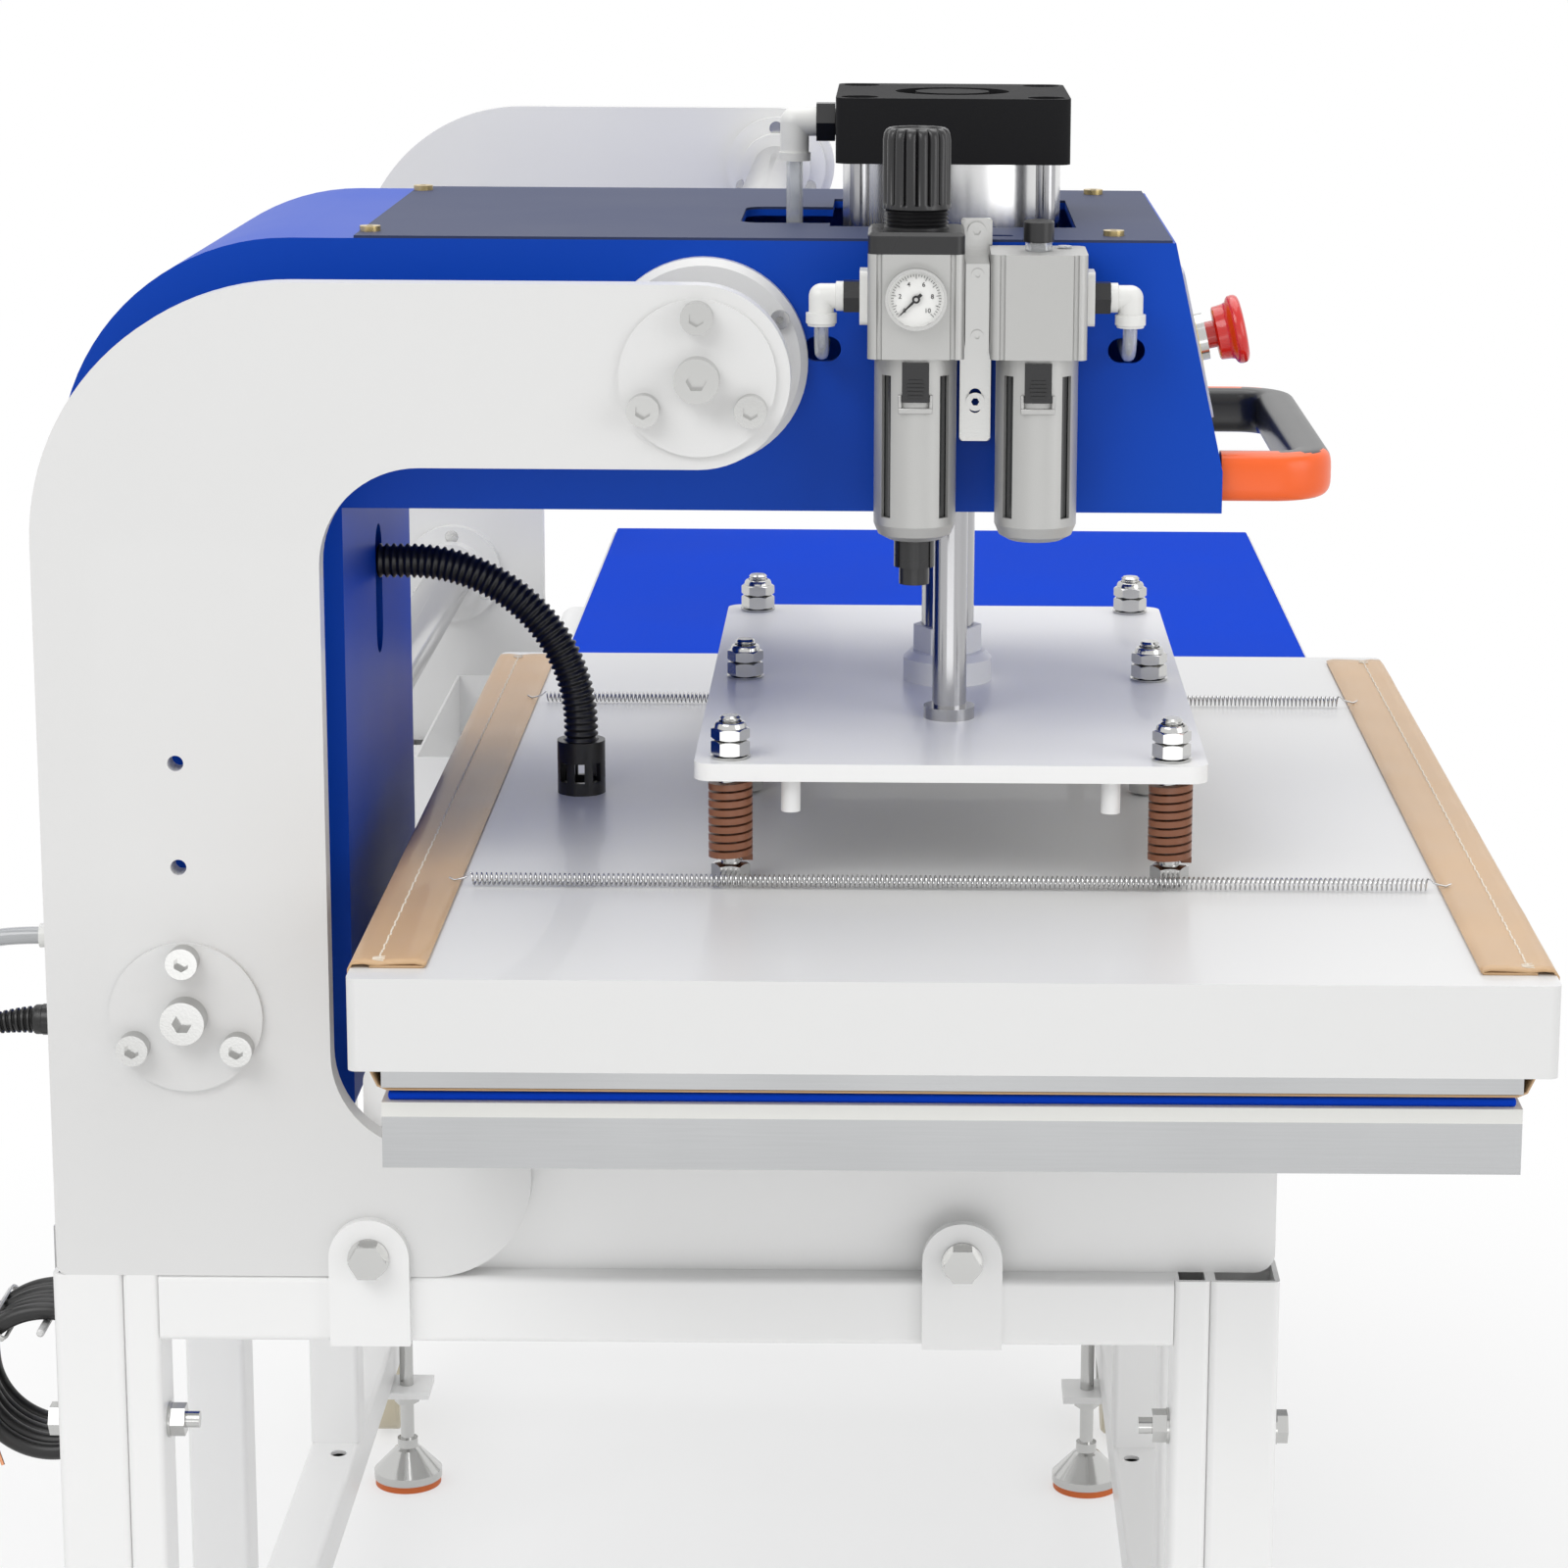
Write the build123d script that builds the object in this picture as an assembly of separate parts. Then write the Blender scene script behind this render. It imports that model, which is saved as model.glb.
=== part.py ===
from build123d import *
import math
import os

# Dual station heat press, all lengths in millimetres.
# +X is the operator's side, +Y runs from the near station to the far one, +Z is up and the floor is at 0.
# The press head rides on two shafts between the cheeks, and one heated platen serves both tables.

# Driving dimensions: stations
heated_x = 600.0
heated_y = 800.0
station_pitch = 940.0
station_overhang = 230.0
side_margin = 15.0
end_margin = 20.0

# Driving dimensions: stand and cheeks
stand_depth = 706.0
stand_setback = 514.0
tube = 40.0
tube_wall = 3.0
post_depth = 21.0
beam_bottom = 92.0
rail_top = 633.0
mid_leg_y = 275.0
cheek_thickness = 16.0
cheek_inset = 3.0
cheek_height = 572.0
column_depth = 160.0
arm_half = 51.0
arm_reach = 370.0
foot_height = 76.0
foot_reach = 273.0
inner_radius = 56.0
rear_radius = 146.0
toe_radius = 58.0

# Driving dimensions: guide shafts
shaft_diameter = 40.0
shaft_inset = 79.0
lower_shaft_height = 155.0
shaft_disc = 87.0
shaft_pcd = 68.0
running_gap = 0.05

# Driving dimensions: tables
box_height = 124.0
box_depth = 525.0
box_wall = 4.0
table_thickness = 28.0
board_thickness = 8.0
pad_thickness = 6.0

# Driving dimensions: platen
sheet_gap = 0.4
sheet_thickness = 1.2
heater_thickness = 15.0
cover_height = 50.0
cover_wall = 2.0
hem_width = 40.0
hem_thickness = 3.0

# Driving dimensions: pressure plate and its springs
plate_x = 288.0
plate_y = 470.0
plate_thickness = 10.0
stud_x = 124.0
stud_pitch = 217.0
stud_diameter = 12.0
nut_flats = 19.0
nut_height = 10.0
spring_length = 51.0
spring_outer = 25.0
spring_wire = 4.6
spring_turns = 7
guide_rod_diameter = 20.0
guide_rod_offset = 109.0
piston_rod_diameter = 32.0

# Driving dimensions: press head
head_width = 312.0
head_clearance = 130.0
head_height = 154.0
head_front = 154.0
head_wall = 4.0
panel_lean = 29.0
panel_drop = 130.0
lift_travel = 60.0
float_travel = 8.0

# Driving dimensions: cylinder
cylinder_bore = 125.0
cylinder_wall = 2.5
cap_size = 137.0
cap_height = 38.0
barrel_length = 136.0
piston_thickness = 40.0

# Driving dimensions: controls, air preparation unit and handle
unit_body = 53.5
unit_height = 58.0
unit_spacing = 67.8
unit_standoff = 34.0
guard_diameter = 46.0
guard_length = 104.0
tube_diameter = 10.0
handle_reach = 66.0
handle_width = 286.0
estop_diameter = 40.0
estop_travel = 4.5

# Driving dimensions: hose, cords and springs
hose_outer = 21.0
hose_bore = 15.0
hose_ribs = 26
cord_diameter = 10.0
coil_radius = 44.0
coil_turns = 5
sheet_spring_diameter = 8.0
sheet_spring_wire = 1.6
sheet_spring_turns = 15

# Levels, from the floor up
rail_bottom = rail_top - tube
beam_top = beam_bottom + tube
table_bottom = rail_top + box_height
board_bottom = table_bottom + table_thickness
pad_bottom = board_bottom + board_thickness
pad_top = pad_bottom + pad_thickness
sheet_bottom = pad_top + sheet_gap
heater_bottom = sheet_bottom + sheet_thickness + sheet_gap
cover_bottom = heater_bottom + heater_thickness
cover_top = cover_bottom + cover_height
spring_seat = cover_top + 1.0 + nut_height
plate_bottom = spring_seat + spring_length
plate_top = plate_bottom + plate_thickness
head_bottom = plate_top + head_clearance
head_top = head_bottom + head_height
cheek_top = rail_top + cheek_height
upper_shaft_z = cheek_top - arm_half
lower_shaft_z = rail_top + lower_shaft_height

# Places across and along
bolt_proud = 8.0
cover_x = heated_x + 2 * side_margin
cover_y = heated_y + 2 * end_margin
front_reach = cover_x / 2 + sheet_gap + sheet_thickness
station_x = (stand_setback + bolt_proud - front_reach) / 2
near_y = -station_pitch / 2
stand_rear = station_x - stand_setback
stand_front = stand_rear + stand_depth
stand_centre_x = (stand_rear + stand_front) / 2
stand_half = station_pitch / 2 + station_overhang
cheek_rear = stand_rear + cheek_inset
cheek_inner = cheek_rear + column_depth
shaft_inner_y = stand_half - cheek_thickness
lower_shaft_x = cheek_rear + shaft_inset
upper_shaft_x = cheek_rear + arm_reach
box_front = stand_front - 2.0
box_rear = box_front - box_depth
head_near = near_y - head_width / 2
head_far = near_y + head_width / 2
head_rear = cheek_rear + 3.0
head_front_x = station_x + head_front
column_bottom = lower_shaft_z - 75.0

mount_top = head_bottom + head_wall + 12.0
low_cap_top = mount_top + cap_height
high_cap_bottom = low_cap_top + barrel_length
high_cap_top = high_cap_bottom + cap_height
panel_top_x = head_front_x - panel_lean
shoulder_z = head_top - panel_drop
bushing_radius = 31.0
hose_exit_z = plate_top + 72.0
tube_hole_x = (station_x - 74.0, station_x + 98.0)
tube_hole_z = head_bottom + 93.0
tab_x = (stand_centre_x - 170.0, stand_centre_x + 170.0)
tab_bolt_z = rail_top + 13.0
estop_y = head_near + 46.0
hose_y = near_y - 4.0
gland_x = station_x - 225.0

os.makedirs("parts", exist_ok=True)


def save(name, *solids):
    shapes = [solid for piece in solids for solid in piece.solids()]
    export_step(Compound(children=shapes) if len(shapes) > 1 else shapes[0], f"parts/{name}.step")


def block(x0, x1, y0, y1, z0, z1):
    return Pos((x0 + x1) / 2, (y0 + y1) / 2, (z0 + z1) / 2) * Box(x1 - x0, y1 - y0, z1 - z0)


def along_x(sketch, x0, x1):
    """Extrude a sketch drawn in (Y, Z) from x0 to x1."""
    return Pos(x0, 0, 0) * extrude(Plane.YZ * sketch, amount=x1 - x0)


def along_y(sketch, y0, y1):
    """Extrude a sketch drawn in (X, Z) from y0 to y1."""
    return Pos(0, y1, 0) * extrude(Plane.XZ * sketch, amount=y1 - y0)


def along_z(sketch, z0, z1):
    """Extrude a sketch drawn in (X, Y) from z0 to z1."""
    return Pos(0, 0, z0) * extrude(sketch, amount=z1 - z0)


def round_z(x, y, z0, z1, radius, bore=0.0):
    ring = Circle(radius) - Circle(bore) if bore else Circle(radius)
    return along_z(Pos(x, y) * ring, z0, z1)


def round_y(x, z, y0, y1, radius, bore=0.0):
    ring = Circle(radius) - Circle(bore) if bore else Circle(radius)
    return along_y(Pos(x, z) * ring, y0, y1)


def round_x(y, z, x0, x1, radius, bore=0.0):
    ring = Circle(radius) - Circle(bore) if bore else Circle(radius)
    return along_x(Pos(y, z) * ring, x0, x1)


def hexagon(flats):
    return RegularPolygon(flats / math.sqrt(3), 6)


def polygon(*points):
    return make_face(Polyline(*points, close=True))


def tube_section(width, depth, wall=tube_wall, radius=4.0):
    return RectangleRounded(width, depth, radius) - Rectangle(width - 2 * wall, depth - 2 * wall)


# Stand: hollow square tubes, four corner legs, four legs under the long rails and two floor beams
def stand():
    leg_x = [stand_rear + tube / 2, stand_front - tube / 2]
    leg_y = stand_half - tube / 2
    post_x = [stand_rear + tube + post_depth / 2, stand_front - tube - post_depth / 2]
    hole = 5.5
    leg_bolt_z = rail_top - 96.0
    corner, middle, posts = [], [], []
    for x in leg_x:
        for side in (-1, 1):
            section = Pos(x, side * leg_y) * tube_section(tube, tube)
            leg = along_z(section, beam_top, rail_top)
            corner.append(leg - round_x(side * leg_y, leg_bolt_z, x - tube, x + tube, hole))
            section = Pos(x, side * mid_leg_y) * tube_section(tube, tube)
            middle.append(along_z(section, beam_top, rail_bottom))
    for x in post_x:
        for side in (-1, 1):
            section = Pos(x, side * leg_y) * tube_section(post_depth, tube)
            post = along_z(section, rail_bottom - 330.0, rail_top)
            posts.append(post - round_x(side * leg_y, leg_bolt_z, x - tube, x + tube, hole))
    cross_x0 = stand_rear + tube + post_depth
    cross_x1 = stand_front - tube - post_depth
    level = (rail_bottom + rail_top) / 2
    rails = [along_x(Pos(side * leg_y, level) * tube_section(tube, tube), cross_x0, cross_x1) for side in (-1, 1)]
    rails += [
        along_y(Pos(x, level) * tube_section(tube, tube), -stand_half + tube, stand_half - tube) for x in leg_x
    ]
    save("upper_frame", *rails, *posts)
    beam_level = beam_bottom + tube / 2
    beams = []
    for x, inward in zip(leg_x, (1, -1)):
        beam = along_y(Pos(x, beam_level) * tube_section(tube, tube), -stand_half, stand_half)
        for side in (-1, 1):
            hole_y = side * (mid_leg_y - tube / 2 - 22.0)
            beam -= round_z(x + inward * 6.0, hole_y, beam_level, beam_top + 1, hole + 1.0)
        beams.append(beam)
    crossings = [
        along_x(Pos(side * leg_y, beam_level) * tube_section(tube, tube), leg_x[0] + tube / 2, leg_x[1] - tube / 2)
        for side in (-1, 1)
    ]
    save("lower_frame", *beams, *crossings, *corner, *middle)
    bolts = []
    for outer, inner, sign in (
        (stand_rear, stand_rear + tube + post_depth, -1),
        (stand_front, stand_front - tube - post_depth, 1),
    ):
        for side in (-1, 1):
            y = side * leg_y
            low, high = sorted((outer, inner - sign * 18.0))
            bolts.append(
                round_x(y, leg_bolt_z, low, high, 4.9)
                + along_x(Pos(y, leg_bolt_z) * hexagon(17.0), *sorted((outer + sign * 1.6, outer + sign * 8.0)))
                + round_x(y, leg_bolt_z, *sorted((outer, outer + sign * 1.6)), 10.5)
                + round_x(y, leg_bolt_z, *sorted((inner, inner - sign * 1.6)), 10.5)
                + along_x(Pos(y, leg_bolt_z) * hexagon(17.0), *sorted((inner - sign * 1.6, inner - sign * 10.0)))
            )
    return bolts


# Welded tabs on the cross rails hold the cheeks and the base box down
def tabs():
    tab_width = 46.0
    tab_thick = 6.0
    plates, bolts = [], []
    for side in (-1, 1):
        face = side * stand_half
        outer = face + side * tab_thick
        for x in tab_x:
            shape = Pos(x, (rail_bottom + tab_bolt_z) / 2) * Rectangle(tab_width, tab_bolt_z - rail_bottom)
            shape += Pos(x, tab_bolt_z) * Circle(tab_width / 2)
            shape -= Pos(x, tab_bolt_z) * Circle(6.5)
            plates.append(along_y(shape, *sorted((face, outer))))
            depth = cheek_thickness + 12.0 if x == tab_x[1] else cheek_thickness - 1.0
            reach = face - side * depth
            bolts.append(
                round_y(x, tab_bolt_z, *sorted((reach, outer)), 5.9)
                + round_y(x, tab_bolt_z, *sorted((outer, outer + side * 1.6)), 12.0)
                + along_y(Pos(x, tab_bolt_z) * hexagon(19.0), *sorted((outer + side * 1.6, outer + side * 9.0)))
            )
    for side in (-1, 1):
        face = side * stand_half
        bolts.append(round_y(tab_x[1], tab_bolt_z, *sorted((face, face - side * cheek_thickness)), 11.0, 6.5))
    return plates, bolts


def cheek_outline():
    x0, x1 = cheek_rear, cheek_inner
    z0, z1 = rail_top, cheek_top
    arm_z = upper_shaft_z - arm_half
    foot_z = rail_top + foot_height
    toe = cheek_rear + foot_reach
    turn = math.sqrt(0.5)
    corner = 6.0
    lines = [
        Line((x0, z0 + corner), (x0, z1 - rear_radius)),
        RadiusArc((x0, z1 - rear_radius), (x0 + rear_radius, z1), rear_radius),
        Line((x0 + rear_radius, z1), (upper_shaft_x, z1)),
        ThreePointArc((upper_shaft_x, z1), (upper_shaft_x + arm_half, upper_shaft_z), (upper_shaft_x, arm_z)),
        Line((upper_shaft_x, arm_z), (x1 + inner_radius, arm_z)),
        ThreePointArc(
            (x1 + inner_radius, arm_z),
            (x1 + inner_radius * (1 - turn), arm_z - inner_radius * (1 - turn)),
            (x1, arm_z - inner_radius),
        ),
        Line((x1, arm_z - inner_radius), (x1, foot_z + inner_radius)),
        ThreePointArc(
            (x1, foot_z + inner_radius),
            (x1 + inner_radius * (1 - turn), foot_z + inner_radius * (1 - turn)),
            (x1 + inner_radius, foot_z),
        ),
        Line((x1 + inner_radius, foot_z), (toe, foot_z)),
        Line((toe, foot_z), (toe, z0 + toe_radius)),
        RadiusArc((toe, z0 + toe_radius), (toe - toe_radius, z0), toe_radius),
        Line((toe - toe_radius, z0), (x0 + corner, z0)),
        RadiusArc((x0 + corner, z0), (x0, z0 + corner), corner),
    ]
    return make_face(Wire(lines))


# Cheeks: two thick C plates, bolted through to the ends of the guide shafts
def cheeks():
    outline = cheek_outline()
    outline -= Pos(tab_x[0], tab_bolt_z) * Circle(6.5)
    for shaft_x, shaft_z in ((upper_shaft_x, upper_shaft_z), (lower_shaft_x, lower_shaft_z)):
        outline -= Pos(shaft_x, shaft_z) * Circle(8.5)
        for angle in (90, 210, 330):
            spot = Pos(shaft_x, shaft_z) * Rot(0, 0, angle) * Pos(shaft_pcd / 2, 0)
            outline -= spot * Circle(6.5)
    for height in (87.0, 147.0):
        outline -= Pos(lower_shaft_x - 2.0, lower_shaft_z + height) * Circle(4.5)
    save("near_cheek", along_y(outline, -stand_half, -shaft_inner_y))
    save("far_cheek", along_y(outline, shaft_inner_y, stand_half))


def guide_shafts():
    places = ((upper_shaft_x, upper_shaft_z), (lower_shaft_x, lower_shaft_z))
    shafts, discs, collars, bolts = [], [], [], []
    for x, z in places:
        shaft = round_y(x, z, -shaft_inner_y, shaft_inner_y, shaft_diameter / 2)
        shaft = chamfer(shaft.edges().filter_by(GeomType.CIRCLE), 1.5)
        for side in (-1, 1):
            end = side * shaft_inner_y
            shaft -= round_y(x, z, *sorted((end, end - side * 40.0)), 8.0)
        shafts.append(shaft)
        for side in (-1, 1):
            face = side * stand_half
            inner = side * shaft_inner_y
            disc_sketch = Pos(x, z) * (Circle(shaft_disc / 2) - Circle(8.5))
            collar_sketch = Pos(x, z) * (Circle(shaft_disc / 2) - Circle(shaft_diameter / 2))
            for angle in (90, 210, 330):
                spot = Pos(x, z) * Rot(0, 0, angle) * Pos(shaft_pcd / 2, 0)
                disc_sketch -= spot * Circle(6.5)
                collar_sketch -= spot * Circle(6.0)
            discs.append(along_y(disc_sketch, *sorted((face, face + side * 3.0))))
            flange = along_y(collar_sketch, *sorted((inner, inner - side * 10.0)))
            hub = round_y(x, z, *sorted((inner - side * 10.0, inner - side * 28.0)), 30.0, shaft_diameter / 2)
            collars.append(flange + hub)
            seat = face + side * 3.0
            group = round_y(x, z, *sorted((inner - side * 38.0, seat)), 7.9)
            group += along_y(Pos(x, z) * (Circle(12.5) - hexagon(10.0)), *sorted((seat, seat + side * 13.0)))
            group += round_y(x, z, *sorted((seat, seat + side * 5.0)), 12.4)
            bolts.append(group)
            for angle in (90, 210, 330):
                spot = Pos(x, z) * Rot(0, 0, angle) * Pos(shaft_pcd / 2, 0)
                screw = along_y(spot * Circle(5.9), *sorted((inner - side * 9.0, seat)))
                screw += along_y(spot * (Circle(9.0) - hexagon(8.0)), *sorted((seat, seat + side * 10.0)))
                screw += along_y(spot * Circle(8.9), *sorted((seat, seat + side * 4.0)))
                bolts.append(screw)
    save("guide_shafts", *shafts)
    save("shaft_clamps", *discs, *collars)
    return bolts


# Base box: a folded steel box between the cheeks that carries both tables
def base_box():
    half = shaft_inner_y
    z0, z1 = rail_top, table_bottom
    outer = Pos((box_rear + box_front) / 2, (z0 + z1) / 2) * RectangleRounded(box_depth, box_height, 12.0)
    inner = Pos((box_rear + box_front) / 2, (z0 + z1) / 2) * Rectangle(
        box_depth - 2 * box_wall - 14.0, box_height - 2 * box_wall
    )
    shell = along_y(outer, -half, half) - along_y(inner, -half + box_wall, half - box_wall)
    shell -= round_y(tab_x[1], tab_bolt_z, -half - 1.0, half + 1.0, 6.1)
    save("base_box", shell)
    # Open tray behind the far end of the box
    tray_x0, tray_x1 = box_rear - 95.0, box_rear - 5.0
    tray_y0, tray_y1 = half - 328.0, half
    tray = block(tray_x0, tray_x1, tray_y0, tray_y1, z0, z0 + 60.0)
    tray -= block(tray_x0 + 2.0, tray_x1 - 2.0, tray_y0 + 2.0, tray_y1 - 2.0, z0 + 2.0, z0 + 61.0)
    save("rear_tray", tray)


def tables():
    x0, x1 = station_x - heated_x / 2, station_x + heated_x / 2
    plates, boards, pads = [], [], []
    for sign in (-1, 1):
        centre = sign * station_pitch / 2
        y0, y1 = centre - heated_y / 2, centre + heated_y / 2
        plates.append(block(x0, x1, y0, y1, table_bottom, board_bottom))
        boards.append(block(x0, x1, y0, y1, board_bottom, pad_bottom))
        pad_shape = Pos(station_x, centre) * RectangleRounded(heated_x - 4.0, heated_y - 4.0, 6.0)
        pads.append(along_z(pad_shape, pad_bottom, pad_top))
    save("table_plates", *plates)
    save("table_boards", *boards)
    save("table_pads", *pads)


def feet_and_casters():
    beam_x = [(stand_rear + tube / 2, 1), (stand_front - tube / 2, -1)]
    foot_y = 485.0
    foot_out = 31.0
    lug_thick = 6.0
    caster_y = 630.0
    lift = 3.0
    wheel_radius = 37.5
    trail = 25.0
    lugs = []
    index = 0
    for x, inward in beam_x:
        for side in (-1, 1):
            index += 1
            fx, fy = x + inward * foot_out, side * foot_y
            low, high = sorted((x - inward * 18.0, fx + inward * 22.0))
            lug = block(low, high, fy - 22.0, fy + 22.0, beam_bottom - lug_thick, beam_bottom)
            lug -= round_z(fx, fy, beam_bottom - 20.0, beam_bottom + 1.0, 6.1)
            lugs.append(lug)
            foot = Pos(fx, fy, 0) * revolve(
                Plane.XZ
                * polygon(
                    (0, 6.0), (30.0, 6.0), (30.0, 13.0), (12.0, 32.0), (9.0, 34.0), (9.0, 42.0),
                    (6.0, 42.0), (6.0, 152.0), (0, 152.0),
                ),
                Axis.Z,
            )
            foot += along_z(Pos(fx, fy) * hexagon(19.0), beam_bottom - lug_thick - 10.3, beam_bottom - lug_thick - 0.3)
            rubber = round_z(fx, fy, 0.0, 6.0, 29.0)
            save(f"leveling_foot_{index}", foot, rubber)
            cx, cy = x, side * caster_y
            drop = -side * trail
            top = block(cx - 20.0, cx + 20.0, cy - 30.0, cy + 30.0, beam_bottom - 4.0, beam_bottom)
            top += round_z(cx, cy, beam_bottom - 9.0, beam_bottom - 4.0, 20.0)
            lugs.append(top)
            axle_z = lift + wheel_radius
            crown = round_z(cx, cy, beam_bottom - 12.0, beam_bottom - 9.3, 21.0)
            cheek_sketch = polygon(
                (cy - 19.0, beam_bottom - 12.0),
                (cy + 19.0, beam_bottom - 12.0),
                (cy + drop + 9.0, axle_z - 6.0),
                (cy + drop, axle_z - 11.0),
                (cy + drop - 9.0, axle_z - 6.0),
            )
            fork = crown
            for flank in (-1, 1):
                plate = along_x(cheek_sketch, *sorted((cx + flank * 14.5, cx + flank * 17.0)))
                fork += plate
            bridge = block(cx - 17.0, cx + 17.0, cy - 18.0, cy + 18.0, beam_bottom - 12.0, beam_bottom - 10.0)
            fork += bridge
            fork += round_x(cy + drop, axle_z, cx - 20.0, cx + 20.0, 4.0)
            fork += along_x(Pos(cy + drop, axle_z) * hexagon(13.0), cx + 17.0, cx + 22.0)
            fork += along_x(Pos(cy + drop, axle_z) * hexagon(13.0), cx - 22.0, cx - 17.0)
            save(f"caster_fork_{index}", fork)
            tread = Pos(cy + drop, axle_z) * (Circle(wheel_radius) - Circle(4.0 + running_gap))
            wheel = along_x(tread, cx - 12.5, cx + 12.5)
            wheel = chamfer(wheel.edges().filter_by(lambda e: e.length > 200), 3.0)
            save(f"caster_wheel_{index}", wheel)
    return lugs


def head():
    x0, x1 = head_rear, head_rear + column_depth
    outer_radius = 133.0
    front = head_front_x
    lean = panel_top_x
    shoulder = shoulder_z

    def profile(inset):
        w = inset
        return make_face(
            Wire(
                [
                    Line((x0 + w, column_bottom + w), (x0 + w, head_top - outer_radius)),
                    RadiusArc(
                        (x0 + w, head_top - outer_radius), (x0 + outer_radius, head_top - w), outer_radius - w
                    ),
                    Line((x0 + outer_radius, head_top - w), (lean - w, head_top - w)),
                    Line((lean - w, head_top - w), (front - w, shoulder)),
                    Line((front - w, shoulder), (front - w, head_bottom + w)),
                    Line((front - w, head_bottom + w), (x1 - w, head_bottom + w)),
                    Line((x1 - w, head_bottom + w), (x1 - w, column_bottom + w)),
                    Line((x1 - w, column_bottom + w), (x0 + w, column_bottom + w)),
                ]
            )
        )

    shell = along_y(profile(0.0), head_near, head_far)
    shell -= along_y(profile(head_wall), head_near + head_wall, head_far - head_wall)
    shell += block(
        station_x - 110.0, station_x + 110.0, near_y - 150.0, near_y + 150.0,
        head_bottom + head_wall - 1.0, mount_top,
    )
    # Openings: the cylinder's square hole with its side slot, rods, shafts, hose slot and tube holes
    opening = Pos(station_x, near_y) * Rectangle(cap_size + 6.0, 172.0)
    slot = Pos(station_x - 94.0, near_y - 18.0) * RectangleRounded(60.0, 100.0, 12.0)
    shell -= along_z(opening + slot, head_top - 20.0, head_top + 5.0)
    shell -= round_z(station_x, near_y, head_bottom - 5.0, mount_top + 5.0, piston_rod_diameter / 2 + 4.0)
    for side in (-1, 1):
        shell -= round_z(
            station_x, near_y + side * guide_rod_offset, head_bottom - 5.0, mount_top + 5.0,
            guide_rod_diameter / 2 + 6.0,
        )
    for x, z in ((upper_shaft_x, upper_shaft_z), (lower_shaft_x, lower_shaft_z)):
        shell -= round_y(x, z, head_near - 5.0, head_far + 5.0, bushing_radius)
    hose_slot = Pos(near_y, hose_exit_z - 18.0) * Rot(0, 0, 90) * SlotOverall(80.0, 30.0)
    shell -= along_x(hose_slot, x1 - 20.0, x1 + 5.0)
    for x in tube_hole_x:
        hole = Pos(x, tube_hole_z) * SlotOverall(21.0, 14.0)
        shell -= along_y(hole, head_near - 5.0, head_near + 20.0)
    for lateral, radius in ((estop_y, 9.0),):
        along = estop_plane(lateral)
        shell -= extrude(along * Circle(radius), amount=30.0, both=True)
    save("head_shell", shell)


def bearings():
    length = 70.0
    bushes, flanges, screws = [], [], []
    flange_radius = 59.0
    flange_thick = 12.0
    for x, z in ((upper_shaft_x, upper_shaft_z), (lower_shaft_x, lower_shaft_z)):
        for face, sign in ((head_near, -1), (head_far, 1)):
            bushes.append(
                round_y(
                    x, z, *sorted((face, face - sign * length)), bushing_radius, shaft_diameter / 2 + running_gap
                )
            )
            ring = Pos(x, z) * (Circle(flange_radius) - Circle(shaft_diameter / 2 + 1.0))
            plate = along_y(ring, *sorted((face, face + sign * flange_thick)))
            rim = plate.edges().filter_by(GeomType.CIRCLE).filter_by(lambda e: e.radius > 50).sort_by(Axis.Y)
            plate = chamfer(rim[0 if sign < 0 else -1], 4.0)
            flanges.append(plate)
            for angle in (30, 150, 270):
                spot = Pos(x, z) * Rot(0, 0, angle) * Pos(50.0, 0)
                outer = face + sign * flange_thick
                screws.append(along_y(spot * (Circle(5.5) - hexagon(4.0)), *sorted((outer, outer + sign * 3.5))))
    for side in (-1, 1):
        gy = near_y + side * guide_rod_offset
        outer = guide_rod_diameter / 2 + 6.0
        bushes.append(
            round_z(station_x, gy, head_bottom, head_bottom + 62.0, outer, guide_rod_diameter / 2 + running_gap)
        )
    save("linear_bushes", *bushes)
    save("bearing_flanges", *flanges, *screws)


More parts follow.
